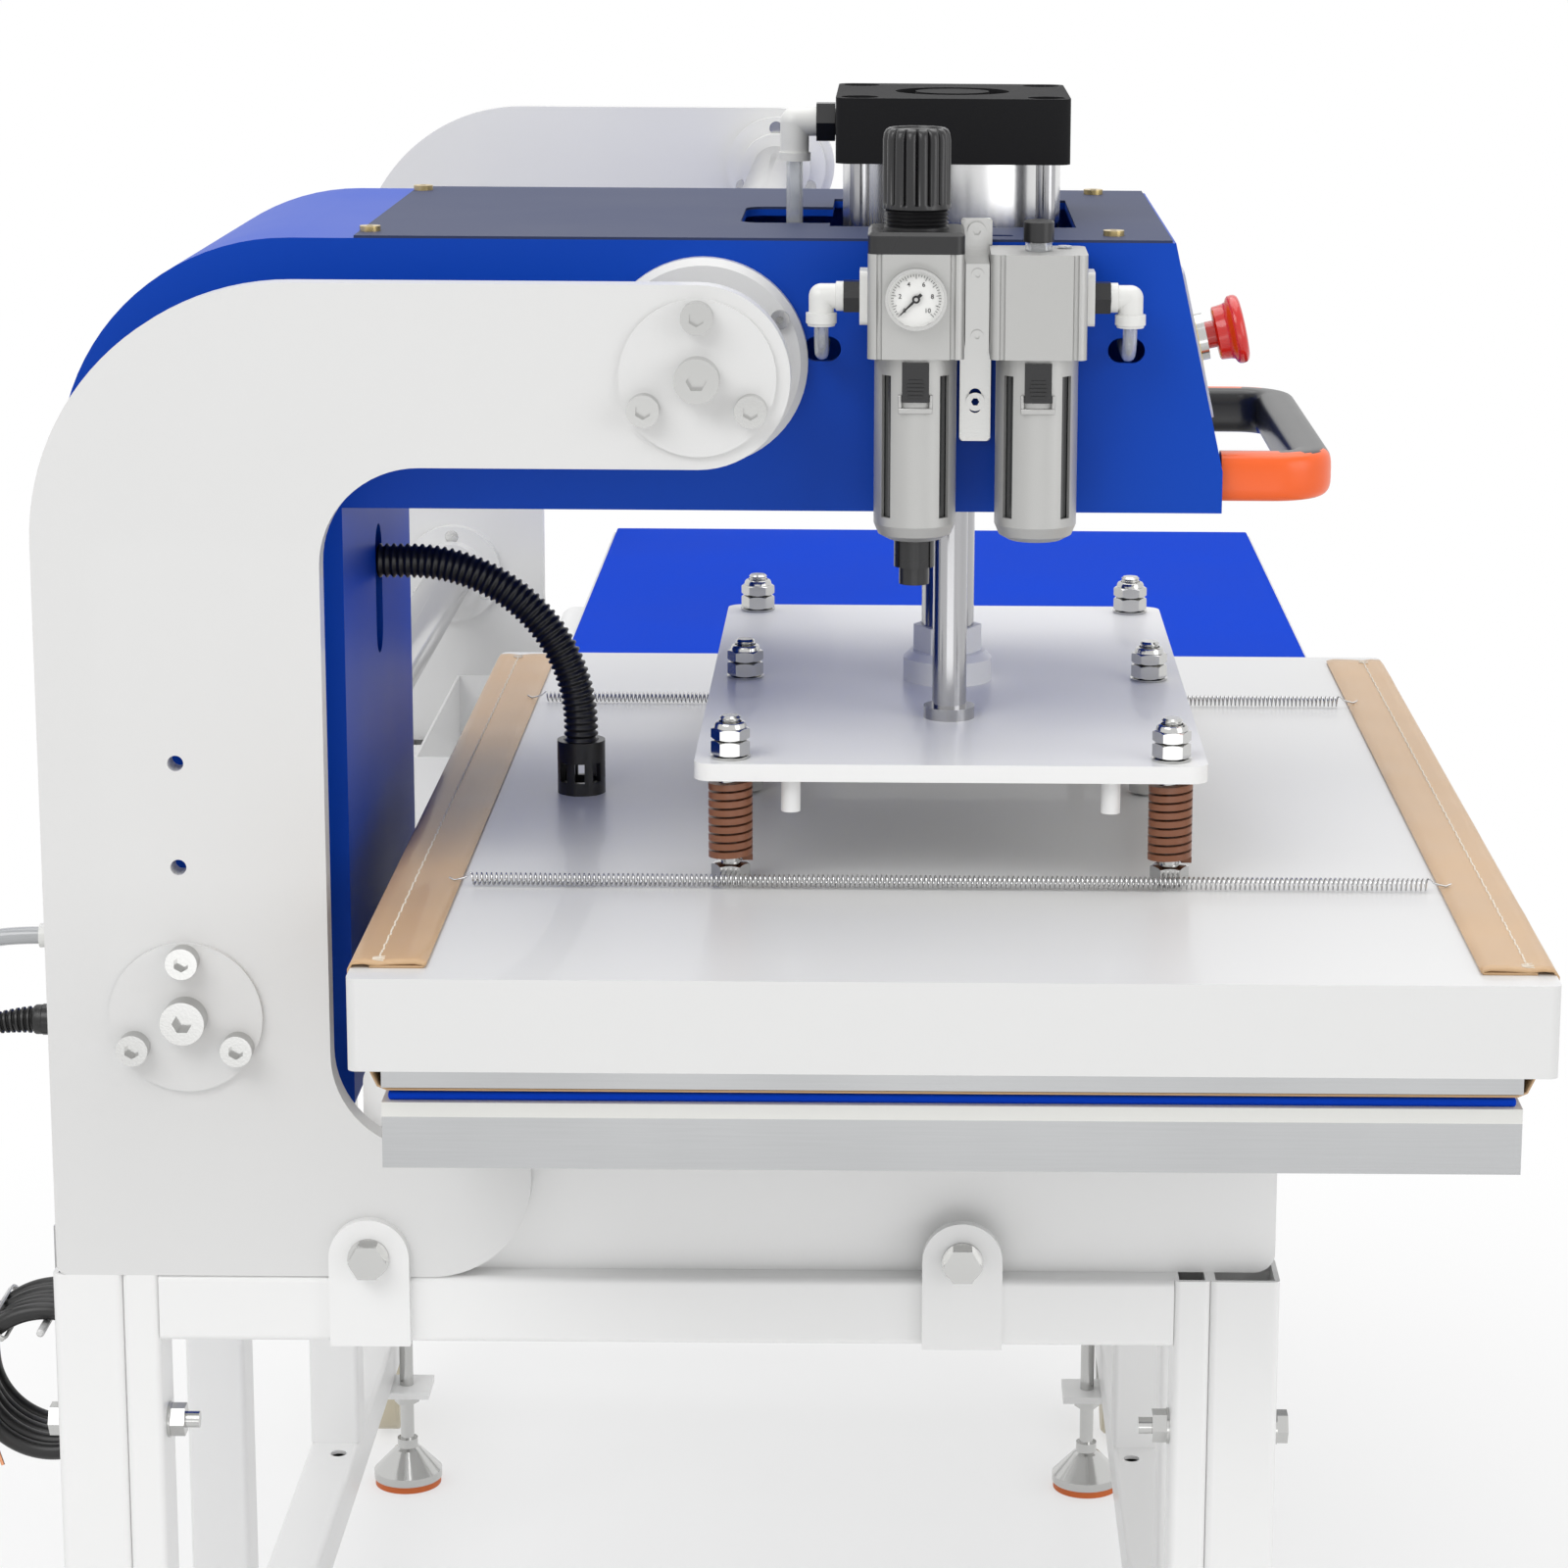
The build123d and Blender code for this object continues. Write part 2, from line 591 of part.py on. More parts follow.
def cylinder():
    y = near_y
    x = station_x
    mount_z1, cap_z0, cap_z1 = mount_top, high_cap_bottom, high_cap_top
    section = Pos(x, y) * RectangleRounded(cap_size, cap_size, 8.0)
    rod_reach = cap_size / 2 - 14.0
    corners = [(x + i * rod_reach, y + j * rod_reach) for i in (-1, 1) for j in (-1, 1)]
    low_cap = along_z(section - Pos(x, y) * Circle(piston_rod_diameter / 2 + running_gap), mount_z1, low_cap_top)
    high_cap = along_z(section, cap_z0, cap_z1)
    for cx, cy in corners:
        low_cap -= round_z(cx, cy, mount_z1 - 1, low_cap_top + 1, 6.0)
        high_cap -= round_z(cx, cy, cap_z0 - 1, cap_z1 + 1, 6.0)
        high_cap -= round_z(cx, cy, cap_z1 - 14.0, cap_z1 + 1, 11.0)
    high_cap -= round_z(x, y, cap_z1 - 5.0, cap_z1 + 1, 34.0, 22.0)
    port_y = y - 20.0
    port_z = cap_z0 + cap_height * 0.55
    high_cap -= round_x(port_y, port_z, x - cap_size / 2 - 1, x - cap_size / 2 + 12.0, 8.0)
    save("cylinder_caps", low_cap, high_cap)
    outer = cylinder_bore / 2 + cylinder_wall
    save("cylinder_barrel", round_z(x, y, low_cap_top, cap_z0, outer, cylinder_bore / 2))
    rods = []
    for cx, cy in corners:
        rods.append(
            round_z(cx, cy, mount_z1, cap_z1 - 4.0, 5.8)
            + along_z(Pos(cx, cy) * hexagon(17.0), cap_z1 - 14.0, cap_z1 - 5.0)
        )
    save("tie_rods", *rods)
    # Left port: hex nut and push-in elbow with its clear tube down into the slot
    face = x - cap_size / 2
    nut = round_x(port_y, port_z, face - 4.0, face + 12.0, 7.9, 4.0)
    nut += along_x(Pos(port_y, port_z) * (hexagon(22.0) - Circle(4.0)), face - 12.0, face - 1.0)
    tube_x = face - 25.0
    elbow = round_x(port_y, port_z, tube_x, face - 12.0, 8.5)
    elbow += Pos(tube_x, port_y, port_z) * Sphere(8.5)
    elbow += round_z(tube_x, port_y, port_z - 20.0, port_z, 8.5)
    elbow += round_z(tube_x, port_y, port_z - 23.0, port_z - 18.0, 9.5)
    elbow -= round_z(tube_x, port_y, port_z - 30.0, port_z - 10.0, 5.0)
    supply = round_z(tube_x, port_y, head_bottom + 60.0, port_z - 10.0, tube_diameter / 2, 3.25)
    return [nut, elbow], supply


def pressure_assembly():
    x, y = station_x, near_y
    sketch = Pos(x, y) * RectangleRounded(plate_x, plate_y, 10.0)
    for i in (-1, 1):
        for j in (-1, 0, 1):
            sketch -= Pos(x + i * stud_x, y + j * stud_pitch) * Circle(stud_diameter / 2 + 0.6)
    plate = along_z(sketch, plate_bottom, plate_top)
    for i in (-1, 1):
        for j in (-1, 1):
            plate += round_z(x + i * 90.0, y + j * 220.0, plate_bottom - 20.0, plate_bottom, 5.5)
    boss = round_z(x, y, plate_top, plate_top + 18.0, 27.0)
    boss = chamfer(boss.edges().filter_by(GeomType.CIRCLE).sort_by(Axis.Z)[-1], 4.0)
    boss += along_z(Pos(x, y) * hexagon(36.0), plate_top + 18.0, plate_top + 34.0)
    boss -= round_z(x, y, plate_top - 1, plate_top + 40.0, piston_rod_diameter / 2)
    save("pressure_plate", plate + boss)
    low = low_cap_top + float_travel + 2.0
    high = low + piston_thickness
    rod = round_z(x, y, plate_top, high, piston_rod_diameter / 2)
    rod += round_z(x, y, low, high, cylinder_bore / 2 - running_gap)
    save("piston_and_rod", rod)
    rods = []
    for side in (-1, 1):
        gy = y + side * guide_rod_offset
        rods.append(round_z(x, gy, plate_top, head_bottom + 72.0, guide_rod_diameter / 2))
        rods.append(round_z(x, gy, plate_top, plate_top + 7.0, 15.0, guide_rod_diameter / 2))
    save("guide_rods", *rods)
    studs = []
    for i in (-1, 1):
        for j in (-1, 0, 1):
            sx, sy = x + i * stud_x, y + j * stud_pitch
            studs.append(round_z(sx, sy, cover_top, plate_top + 24.0, stud_diameter / 2))
            nut = Pos(sx, sy) * (hexagon(nut_flats) - Circle(stud_diameter / 2))
            studs.append(along_z(nut, cover_top + 1.0, spring_seat))
            studs.append(along_z(nut, plate_top + 0.3, plate_top + 0.3 + nut_height))
            studs.append(along_z(nut, plate_top + 0.6 + nut_height, plate_top + 20.0))
    save("platen_studs", *studs)


def platen():
    x, y = station_x, near_y
    x0, x1 = x - heated_x / 2, x + heated_x / 2
    y0, y1 = y - heated_y / 2, y + heated_y / 2
    save("heater_plate", block(x0, x1, y0, y1, heater_bottom, cover_bottom))
    outer = Pos(x, y) * RectangleRounded(cover_x, cover_y, 5.0)
    inner = Pos(x, y) * Rectangle(cover_x - 2 * cover_wall, cover_y - 2 * cover_wall)
    cover = along_z(outer, cover_bottom, cover_top) - along_z(inner, cover_bottom - 1, cover_top - cover_wall)
    # Strain relief of the heater cable: a slotted bell on the cover
    bell = round_z(gland_x, hose_y, cover_top, cover_top + 33.0, 14.75, hose_outer / 2 + 0.3)
    for angle in range(0, 180, 45):
        window = Pos(gland_x, hose_y, cover_top + 14.0) * Rot(0, 0, angle) * Box(40.0, 6.0, 12.0)
        bell -= window
    save("platen_cover", cover, bell)
    element_radius = 4.0
    runs = 6
    pitch = (heated_x - 100.0) / (runs - 1)
    reach = heated_y / 2 - 60.0
    level = cover_bottom + element_radius
    edges = []
    for run in range(runs):
        rx = x0 + 50.0 + run * pitch
        sign = 1 if run % 2 == 0 else -1
        edges.append(Line((rx, y - sign * reach, level), (rx, y + sign * reach, level)))
        if run < runs - 1:
            edges.append(
                ThreePointArc(
                    (rx, y + sign * reach, level),
                    (rx + pitch / 2, y + sign * (reach + pitch / 2), level),
                    (rx + pitch, y + sign * reach, level),
                )
            )
    path = Wire(edges)
    start = Plane(origin=(x0 + 50.0, y - reach, level), z_dir=(0, 1, 0))
    element = sweep(start * Circle(element_radius), path)
    mat_bottom = cover_bottom + 2 * element_radius + 0.4
    mat = block(x0 + 4.0, x1 - 4.0, y0 + 4.0, y1 - 4.0, mat_bottom, cover_top - cover_wall - 0.2)
    save("heater_core", element, mat)
    # Release sheet: one strip under the heater, up both sides, with a flat hem on top of the cover
    hem_z0 = cover_top + 0.3
    t = sheet_thickness
    edge = x1 + side_margin + 0.4
    sheets = []
    half = heated_y / 2
    bottom = block(x0 - 1.0, x1 + 1.0, y - half, y + half, sheet_bottom, sheet_bottom + t)
    sheet = bottom
    for sign in (-1, 1):
        flank = along_y(
            polygon(
                (x + sign * (heated_x / 2 + 0.4), sheet_bottom),
                (x + sign * (heated_x / 2 + 1.6), sheet_bottom),
                (x + sign * (cover_x / 2 + 0.4 + t), cover_bottom),
                (x + sign * (cover_x / 2 + 0.4 + t), hem_z0 + hem_thickness),
                (x + sign * (cover_x / 2 - hem_width), hem_z0 + hem_thickness),
                (x + sign * (cover_x / 2 - hem_width), hem_z0),
                (x + sign * (cover_x / 2 + 0.4), hem_z0),
                (x + sign * (cover_x / 2 + 0.4), cover_bottom),
                (x + sign * (heated_x / 2 + 0.4), sheet_bottom + t),
            ),
            y - half,
            y + half,
        )
        sheet += flank
    save("release_sheet", sheet)


def turns(radius, pitch, count):
    """A helix about +Z from (radius, 0, 0), as tangent arcs of a quarter turn each."""
    rise = pitch / 4
    edges = []
    for quarter in range(round(4 * count)):
        a, b = math.radians(90 * quarter), math.radians(90 * (quarter + 1))
        start = (radius * math.cos(a), radius * math.sin(a), quarter * rise)
        end = (radius * math.cos(b), radius * math.sin(b), (quarter + 1) * rise)
        heading = (-math.sin(a), math.cos(a), pitch / (8 * radius))
        edges.append(TangentArc(start, end, tangent=heading))
    return Wire(edges)


def coil_spring(radius, wire, length, count, profile):
    """A spring that stands on Z = 0, with the wire's profile given, and the gap between its turns."""
    pitch = (length - 1.2 * wire) / count
    path = turns(radius, pitch, count)
    section = Plane(path @ 0, x_dir=(1, 0, 0), z_dir=path % 0) * profile
    spring = sweep(section, path)
    return Pos(0, 0, 0.6 * wire) * spring, pitch - wire


# Springs: six die springs under the pressure plate, and two that pull the release sheet taut
def springs():
    inner = spring_outer / 2 - spring_wire / 2
    end_gap = 0.3
    profile = RegularPolygon(spring_wire / 2, 6)
    spring, gap = coil_spring(inner, spring_wire, spring_length - 2 * end_gap, spring_turns, profile)
    print("die spring gap", round(gap, 2))
    group = []
    for i in (-1, 1):
        for j in (-1, 0, 1):
            group.append(
                Pos(station_x + i * stud_x, near_y + j * stud_pitch, spring_seat + end_gap) * spring
            )
    save("die_springs", *group)
    reach = cover_x - 2 * hem_width - 4.0
    inner = (sheet_spring_diameter - sheet_spring_wire) / 2
    profile = Circle(sheet_spring_wire / 2)
    spring, gap = coil_spring(inner, sheet_spring_wire, reach, sheet_spring_turns, profile)
    print("sheet spring gap", round(gap, 2))
    level = cover_top + 0.6 + sheet_spring_diameter / 2
    x0 = station_x - reach / 2
    save(
        "sheet_springs",
        *[Pos(x0, near_y + off, level) * Rot(0, 90, 0) * spring for off in (-stud_pitch - 16.5, stud_pitch + 33.0)],
    )


# Corrugated hose from the head's column down to the platen's strain relief
def heater_hose():
    top = Vector(head_rear + column_depth, hose_y, hose_exit_z)
    low = Vector(gland_x, hose_y, cover_top + 30.0)
    corner = Vector(gland_x, hose_y, hose_exit_z)
    bend = 0.9 * min(corner.X - top.X, corner.Z - low.Z)
    path = FilletPolyline(top, corner, low, radius=bend)
    rib = 1.0 / hose_ribs
    crest, root = hose_outer / 2, hose_outer / 2 - 1.6
    sections = []
    for index in range(hose_ribs):
        for share, radius in ((0.0, root), (0.25, root), (0.45, crest), (0.8, crest)):
            at = (index + share) * rib
            place = Plane(path @ at, x_dir=(0, 1, 0), z_dir=path % at)
            sections.append(place * Circle(radius))
    sections.append(Plane(path @ 1, x_dir=(0, 1, 0), z_dir=path % 1) * Circle(root))
    outer = loft(sections, ruled=True)
    bore = sweep(Plane(path @ 0, x_dir=(0, 1, 0), z_dir=path % 0) * Circle(hose_bore / 2), path)
    save("heater_hose", outer - bore)
    print("hose bend radius", round(bend, 1))


def estop_plane(lateral):
    """The sloped panel at the stop button's height, with +Z out of the panel."""
    along = Vector(panel_lean, 0, -panel_drop).normalized()
    outward = Vector(panel_drop, 0, panel_lean).normalized()
    drop = 61.0
    centre = Vector(panel_top_x, lateral, head_top) + along * drop
    return Plane(centre, x_dir=(0, 1, 0), z_dir=outward)


def head_trim():
    # Top cover: a thin lid on the head with the cylinder's opening, and its four button screws
    thick = 1.5
    x0, x1 = head_rear + 170.0, panel_top_x - 2.0
    lid = Pos((x0 + x1) / 2, near_y) * Rectangle(x1 - x0, head_width)
    lid -= Pos(station_x, near_y) * Rectangle(cap_size + 6.0, 172.0)
    lid -= Pos(station_x - 94.0, near_y - 18.0) * RectangleRounded(60.0, 100.0, 12.0)
    lid -= Pos(station_x + 26.0, head_near + 22.0) * SlotOverall(16.0, 8.0)
    cover = along_z(lid, head_top, head_top + thick)
    pieces = [cover]
    for sx in (station_x - 332.0, station_x + 91.0):
        for side in (-1, 1):
            spot = Pos(sx, near_y + side * 130.0)
            screw = along_z(spot * (Circle(6.0) - hexagon(4.0)), head_top + thick, head_top + thick + 3.0)
            pieces.append(screw)
    save("head_cover", *pieces)
    # Front panel on the slope, and the stop button's bezel
    place = estop_plane(near_y)
    panel = extrude(place * RectangleRounded(284.0, 86.0, 4.0), amount=2.0)
    seat = estop_plane(estop_y)
    stem = 8.0
    panel -= extrude(seat * Circle(stem + 1.0), amount=10.0, both=True)
    bezel = extrude(seat * (Circle(13.5) - Circle(stem + running_gap)), amount=8.0)
    bezel -= extrude(seat * Circle(20.0), amount=2.0)
    save("front_panel", panel, bezel)
    # Stop button: stem, red body and mushroom rim
    base = 8.0 + estop_travel + 1.0
    button = extrude(seat.offset(-12.0) * Circle(stem), amount=base + 12.0)
    button += extrude(seat.offset(base) * Circle(estop_diameter * 0.4), amount=10.0)
    rim = extrude(seat.offset(base + 9.0) * Circle(estop_diameter / 2), amount=8.5)
    button += chamfer(rim.edges().filter_by(GeomType.CIRCLE), 2.0)
    save("estop_button", button)


# Handle: two arms and a grip, with end caps
def handle():
    depth, height = 20.0, 28.0
    z = head_bottom + 19.0
    y0 = near_y - 3.0 - handle_width / 2
    y1 = y0 + handle_width
    x1 = head_front_x + handle_reach
    arms = []
    for y in (y0, y1 - depth):
        arms.append(along_x(Pos(y + depth / 2, z) * RectangleRounded(depth, height, 8.0), head_front_x, x1))
    grip = along_y(Pos(x1 - depth / 2, z) * RectangleRounded(depth, height, 8.0), y0, y1)
    caps = []
    for y, side in ((y0, -1), (y1, 1)):
        shape = Pos((head_front_x + x1) / 2 + 2.0, z) * RectangleRounded(handle_reach - 4.0, height - 2.0, 12.0)
        caps.append(along_y(shape, *sorted((y, y + side * 3.5))))
    save("handle", arms[0] + grip + arms[1], *caps)


# Air preparation unit on the near side of the head: filter regulator, lubricator and bracket
def air_unit():
    y = head_near - unit_standoff
    z1 = head_top - 1.0
    z0 = z1 - unit_height
    left_x = station_x - 21.4
    right_x = left_x + unit_spacing
    half = unit_body / 2

    def body(x):
        shape = Pos(x, y) * RectangleRounded(unit_body, unit_body, 5.0)
        solid = along_z(shape, z0, z1)
        for side in (-1, 1):
            solid -= along_z(Pos(x + side * (half - 6.5), y - half) * Circle(1.6), z0 - 1, z1 + 1)
        return solid

    # Filter regulator: body, bonnet, threaded collar and the turning knob
    regulator = body(left_x)
    gauge_z = z0 + 34.0
    bonnet = along_z(Pos(left_x, y) * RectangleRounded(unit_body, unit_body, 6.0), z1, z1 + 12.0)
    bonnet = chamfer(bonnet.faces().sort_by(Axis.Z)[-1].edges(), 2.0)
    collar = revolve(
        Plane.XZ
        * polygon(
            (11.0, 0.0), (18.0, 0.0),
            *[(18.0 - 1.6 * (step % 2), 1.1 + step * 1.1) for step in range(9)],
            (17.0, 11.0), (11.0, 11.0),
        ),
        Axis.Z,
    )
    flange_z = z0 + 32.0
    flanges = [
        along_x(Pos(y, flange_z) * RectangleRounded(24.0, 30.0, 3.0), *sorted((face, face + side * 4.5)))
        for face, side in ((left_x - half, -1), (right_x + half, 1))
    ]
    save("filter_regulator", regulator, bonnet + Pos(left_x, y, z1 + 12.0) * collar, flanges[0])
    knob_z = z1 + 12.0 + 11.0 + 0.3
    grip = Pos(left_x, y) * Circle(19.2)
    for step in range(12):
        grip -= Pos(left_x, y) * Rot(0, 0, 30 * step) * Pos(19.6, 0) * Circle(1.9)
    knob = along_z(grip, knob_z, knob_z + 41.0)
    knob += round_z(left_x, y, knob_z + 40.0, knob_z + 44.0, 16.0)
    knob += round_z(left_x, y, knob_z - 8.0, knob_z, 10.7)
    save("regulator_knob", knob)
    # Pressure gauge with its needle
    face = y - half
    rim = round_y(left_x, gauge_z, face - 8.0, face, 17.0, 15.4)
    dial = round_y(left_x, gauge_z, face - 4.0, face, 15.4)
    pin = round_y(left_x, gauge_z, face - 6.4, face - 4.0, 1.0)
    save("pressure_gauge", rim, dial, pin)
    blade = polygon((-4.0, 0.9), (-4.0, -0.9), (12.5, -0.3), (12.5, 0.3))
    needle = Pos(left_x, gauge_z) * Rot(0, 0, 225) * blade + Pos(left_x, gauge_z) * Circle(2.2)
    save("gauge_needle", along_y(needle, face - 5.8, face - 4.9) - round_y(left_x, gauge_z, face - 9, face, 1.1))
    # Lubricator: body, clear sight dome and its drip screw
    dome = round_z(right_x, y - 2.0, z1, z1 + 5.0, 7.5, 4.0)
    plug = round_z(right_x + 15.0, y + 12.0, z1, z1 + 1.5, 4.0)
    save("lubricator", body(right_x), dome, plug, flanges[1])
    cap = round_z(right_x, y - 2.0, z1 + 5.3, z1 + 17.0, 8.5)
    cap = chamfer(cap.edges().filter_by(GeomType.CIRCLE).sort_by(Axis.Z)[-1], 1.0)
    cap += round_z(right_x, y - 2.0, z1 - 0.0, z1 + 5.3, 3.9)
    save("drip_screw", cap)
    # Bowl guards with sight windows and latches; the filter's guard has a drain
    low = z0 - guard_length
    guards = []
    for x in (left_x, right_x):
        wall = 2.0
        radius = guard_diameter / 2
        outline = revolve(
            Plane.XZ
            * polygon(
                (0.0, 0.0), (radius - 8.0, 0.0), (radius - 2.5, 3.0), (radius, 9.0), (radius, guard_length),
                (radius - wall, guard_length), (radius - wall, 9.0), (radius - 9.0, wall), (0.0, wall),
            ),
            Axis.Z,
        )
        guard = Pos(x, y, low) * outline
        for angle in (-45, 45, 135, 225):
            window = Pos(x, y, z0 - 50.0) * Rot(0, 0, angle - 90) * Pos(radius, 0, 0) * Box(8.0, 7.0, 80.0)
            guard -= window
        if x == left_x:
            guard -= round_z(x, y, low - 1, low + 5, 9.0 + running_gap)
        bowl = round_z(x, y, low + 5.0, z0, radius - wall - 0.5, radius - wall - 3.0)
        bowl += round_z(x, y, low + 5.0, low + 8.0, radius - wall - 3.0)
        if x == left_x:
            bowl -= round_z(x, y, low, low + 9.0, 9.5)
        latch = block(x - 7.5, x + 7.5, y - radius - 2.5, y - radius + 1.0, z0 - 24.0, z0 - 2.0)
        guards += [guard, bowl, latch]
    save("bowl_guards", *guards)
    drain = round_z(left_x, y, low - 16.0, low - 0.4, 11.5)
    drain += round_z(left_x, y, low - 26.0, low - 16.0, 8.5)
    drain += round_z(left_x, y, low - 0.4, low + 6.0, 9.0)
    for step in range(8):
        drain -= Pos(left_x, y, low - 8.0) * Rot(0, 0, 45 * step) * Pos(11.8, 0, 0) * Box(2.0, 2.5, 17.0)
    save("drain_knob", drain)
    # Bracket with its slot and screws, clamp piece between the bodies, elbows and clear tubes
    middle = (left_x + right_x) / 2
    plate = Pos(middle, z0 + 10.0) * RectangleRounded(17.5, 126.0, 2.0) - Pos(middle, z0 - 30.0) * Rot(
        0, 0, 90
    ) * SlotOverall(14.0, 7.0)
    back = y + half + 0.4
    strip = along_y(plate, back, back + 3.0)
    post = block(middle - 6.0, middle + 6.0, back + 3.0, head_near, z0 + 8.0, z0 + 44.0)
    clamp = block(middle - 6.6, middle + 6.6, y - 16.0, back, z0 + 5.0, z0 + 52.0)
    pieces = [strip, post, clamp]
    for level in (z0 + 12.0, z0 + 46.0):
        pieces.append(along_y(Pos(middle, level) * (Circle(3.6) - hexagon(2.6)), y - 19.0, y - 16.0))
    for level in (z0 + 66.0, z0 - 30.0):
        pieces.append(along_y(Pos(middle, level) * (Circle(5.2) - hexagon(4.0)), back - 5.0, back))
    tubes = []
    for hole_x, face, side in ((tube_hole_x[0], left_x - half, -1), (tube_hole_x[1], right_x + half, 1)):
        start = face + side * 4.5
        inner = start + side * 9.0
        nut = along_x(Pos(y, flange_z) * hexagon(17.0), *sorted((start, inner)))
        elbow = round_x(y, flange_z, *sorted((inner, hole_x)), 7.0)
        elbow += Pos(hole_x, y, flange_z) * Sphere(7.0)
        elbow += round_z(hole_x, y, flange_z - 15.0, flange_z, 7.0)
        elbow -= round_z(hole_x, y, flange_z - 16.0, flange_z - 6.0, 4.0)
        pieces += [nut, elbow]
        bend = flange_z - 15.0 - tube_hole_z
        curve = FilletPolyline(
            Vector(hole_x, y, flange_z - 7.0),
            Vector(hole_x, y, tube_hole_z),
            Vector(hole_x, head_near + 30.0, tube_hole_z),
            radius=bend,
        )
        ring = Plane(curve @ 0, z_dir=curve % 0) * (Circle(4.0) - Circle(2.5))
        tubes.append(sweep(ring, curve))
    return pieces, tubes


# Rear fittings: a small angle bracket on the near cheek's rear edge with the air inlet and the mains gland
def rear_fittings():
    y = -stand_half + 32.0
    air_z = rail_top + 193.0
    mains_z = rail_top + 143.0
    x = cheek_rear
    bracket = block(x, x + 3.0, -shaft_inner_y, -shaft_inner_y + 34.0, mains_z - 24.0, air_z + 22.0)
    fitting = round_x(y, air_z, x - 9.0, x, 7.0, cord_diameter / 2)
    gland = round_x(y, mains_z, x - 9.0, x, 9.0, cord_diameter / 2)
    return y, air_z, mains_z, [bracket, fitting, gland]


def bent_tube(points, radii, section):
    """A tube of straight runs and tangent arcs through the points, with its length and least bend radius."""
    edges = []
    start = points[0]
    for before, corner, after, radius in zip(points, points[1:], points[2:], radii):
        inward = (before - corner).normalized()
        onward = (after - corner).normalized()
        half_turn = (math.pi - math.acos(max(-1.0, min(1.0, inward.dot(onward))))) / 2
        cut = radius * math.tan(half_turn)
        first, last = corner + inward * cut, corner + onward * cut
        edges.append(Line(start, first))
        edges.append(TangentArc(first, last, tangent=-inward))
        start = last
    edges.append(Line(start, points[-1]))
    path = Wire(edges)
    solid = sweep(Plane(path @ 0, z_dir=path % 0) * section, path)
    return path, solid


def bend_radii(points):
    radii = []
    for before, corner, after in zip(points, points[1:], points[2:]):
        one, two = corner - before, after - corner
        half_turn = math.acos(max(-1.0, min(1.0, one.normalized().dot(two.normalized())))) / 2
        radii.append(0.45 * min(one.length, two.length) / math.tan(half_turn))
    return radii


def report_tube(name, path, solid, area):
    print(name, "length", round(path.length, 1), "volume ratio", round(solid.volume / (area * path.length), 4))


